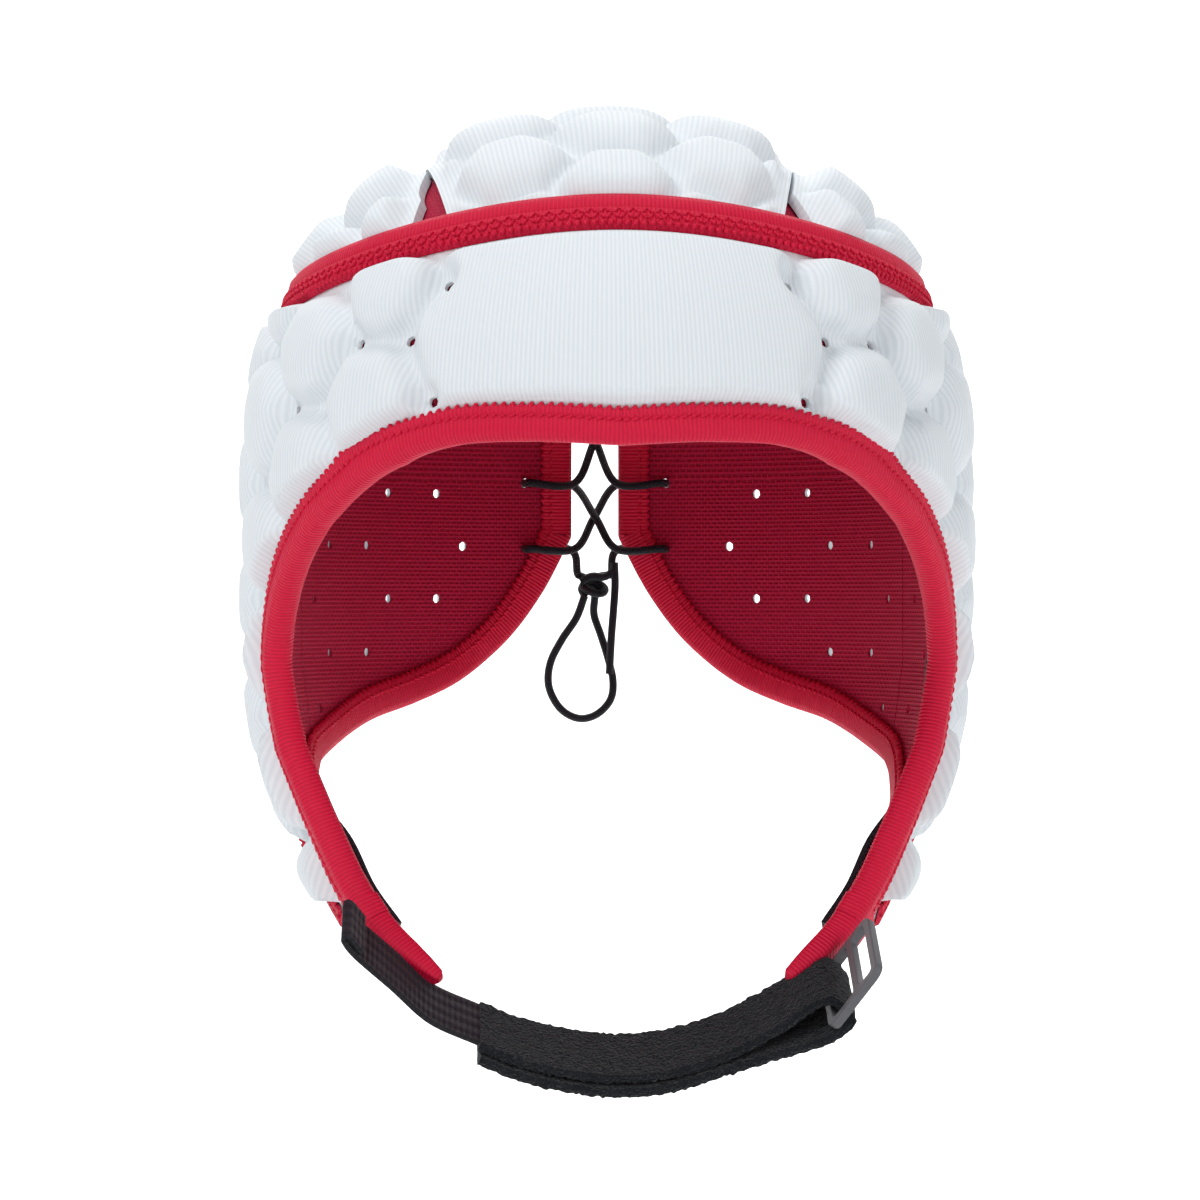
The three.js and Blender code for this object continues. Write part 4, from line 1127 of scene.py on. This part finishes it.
for sign, label in ((1, "right"), (-1, "left")):
    inner = meshObject(label + "_inner_band", *innerBand(sign), "webbing")
    ridesFor(inner, "webbing", label + "_inner_strap")
    ridesFor(meshObject(label + "_tongue", *tongue(sign), "tape"), "tape", label + "_flap_tab")


# Ring: a flat plate with two slots, its corners rounded, standing in the fold
def ringOutline(w, low, high, corner, sides=6):
    points = []
    for cx, cy, start in ((w - corner, high - corner, 0), (-w + corner, high - corner, 90),
                          (-w + corner, low + corner, 180), (w - corner, low + corner, 270)):
        for k in range(sides + 1):
            spin = math.radians(start + 90 * k / sides)
            points.append((cx + corner * math.cos(spin), cy + corner * math.sin(spin)))
    return points


def strapRing():
    w, h, bar = ring["width"] / 2, ring["height"] / 2, ring["bar"]
    curve = bpy.data.curves.new("ring_outline", "CURVE")
    curve.dimensions = "2D"
    curve.fill_mode = "BOTH"
    curve.extrude = (ring["thick"] / 2 - 0.3) * mm
    curve.bevel_depth = 0.3 * mm
    curve.offset = -0.3 * mm
    lowSlot = ringOutline(w - bar, -h + bar, ring["midBar"], ring["slotCorner"])
    highSlot = ringOutline(w - bar, ring["midBar"] + bar, h - bar, ring["slotCorner"])
    for outline in (ringOutline(w, -h, h, ring["corner"]), lowSlot, highSlot):
        spline = curve.splines.new("POLY")
        spline.points.add(len(outline) - 1)
        spline.use_cyclic_u = True
        for point, (x, y) in zip(spline.points, outline):
            point.co = (x * mm, y * mm, 0, 1)
    holder = added("ring_outline", curve)
    bpy.context.view_layer.update()
    mesh = bpy.data.meshes.new_from_object(holder.evaluated_get(bpy.context.evaluated_depsgraph_get()))
    bpy.data.objects.remove(holder)
    up = np.array([0.51, 0, 0.86])
    up = toUnit(up - strapAcross * up.dot(strapAcross))
    face = np.cross(strapAcross, up)
    foot = strapPoint(*strapLine[-1], below=foldGap / 2) + [0.75 * bar, 0, 0]
    centre = foot + up * (ring["height"] - bar) / 2
    local = np.zeros(len(mesh.vertices) * 3)
    mesh.vertices.foreach_get("co", local)
    local = local.reshape(-1, 3)
    placed = centre * mm + local @ np.array([strapAcross, up, face])
    mesh.vertices.foreach_set("co", placed.ravel())
    mesh.materials.clear()
    mesh.materials.append(materials["plastic"])
    if not mesh.uv_layers:
        mesh.uv_layers.new(name="cloth")
    mesh.uv_layers[0].name = "cloth"
    mesh.polygons.foreach_set("use_smooth", [True] * len(mesh.polygons))
    mesh.set_sharp_from_angle(angle=math.radians(40))
    mesh.update()
    return added("strap_ring_plate", mesh)


ridesFor(strapRing(), "ring", "strap_ring")
print("straps made")

# Studio: pale floor that rises behind, and soft light
stage = {"floor": -0.42, "front": -3.0, "back": 2.6, "height": 3.0, "side": 4.0, "bend": 1.2}


def backdrop():
    profile = [(stage["front"], stage["floor"])]
    bend = stage["bend"]
    for k in range(13):
        turn = math.radians(90 * k / 12)
        y = stage["back"] - bend + bend * math.sin(turn)
        profile.append((y, stage["floor"] + bend - bend * math.cos(turn)))
    profile.append((stage["back"], stage["height"]))
    points = [(x, y, z) for y, z in profile for x in (-stage["side"], stage["side"])]
    faces = [(2 * k, 2 * k + 1, 2 * k + 3, 2 * k + 2) for k in range(len(profile) - 1)]
    mesh = bpy.data.meshes.new("floor")
    mesh.from_pydata(points, [], faces)
    mesh.polygons.foreach_set("use_smooth", [True] * len(faces))
    floorMaterial = bpy.data.materials.new("floor")
    floorMaterial.use_nodes = True
    shader = floorMaterial.node_tree.nodes["Principled BSDF"]
    shader.inputs["Base Color"].default_value = (0.95, 0.95, 0.95, 1)
    shader.inputs["Roughness"].default_value = 0.9
    mesh.materials.append(floorMaterial)
    added("floor", mesh)


backdrop()
world = bpy.data.worlds.new("studio")
world.use_nodes = True
sky = world.node_tree.nodes["Background"]
sky.inputs["Color"].default_value = (0.95, 0.97, 1, 1)
sky.inputs["Strength"].default_value = 0.37
bpy.context.scene.world = world
lights = {
    "key": {"at": (-0.9, -1.0, 0.9), "size": 0.7, "power": 11.5},
    "fill": {"at": (1.3, -0.7, 0.2), "size": 0.7, "power": 5},
    "top": {"at": (0, 0.1, 1.2), "size": 0.7, "power": 5},
    "low": {"at": (0, -0.9, -0.3), "size": 0.9, "power": 1.2},
    "backdrop": {"at": (0, 1.2, 1.4), "size": 2.0, "power": 60, "aim": (0, 2.4, 0.2)},
}
for name, light in lights.items():
    data = bpy.data.lights.new(name, "AREA")
    data.size = light["size"]
    data.energy = light["power"]
    lamp = added(name, data)
    lamp.location = light["at"]
    aim = Vector(light.get("aim", (0, 0, -0.11)))
    lamp.rotation_euler = (aim - lamp.location).to_track_quat("-Z", "Y").to_euler()
bpy.context.scene.view_settings.view_transform = "Standard"
print("studio made")
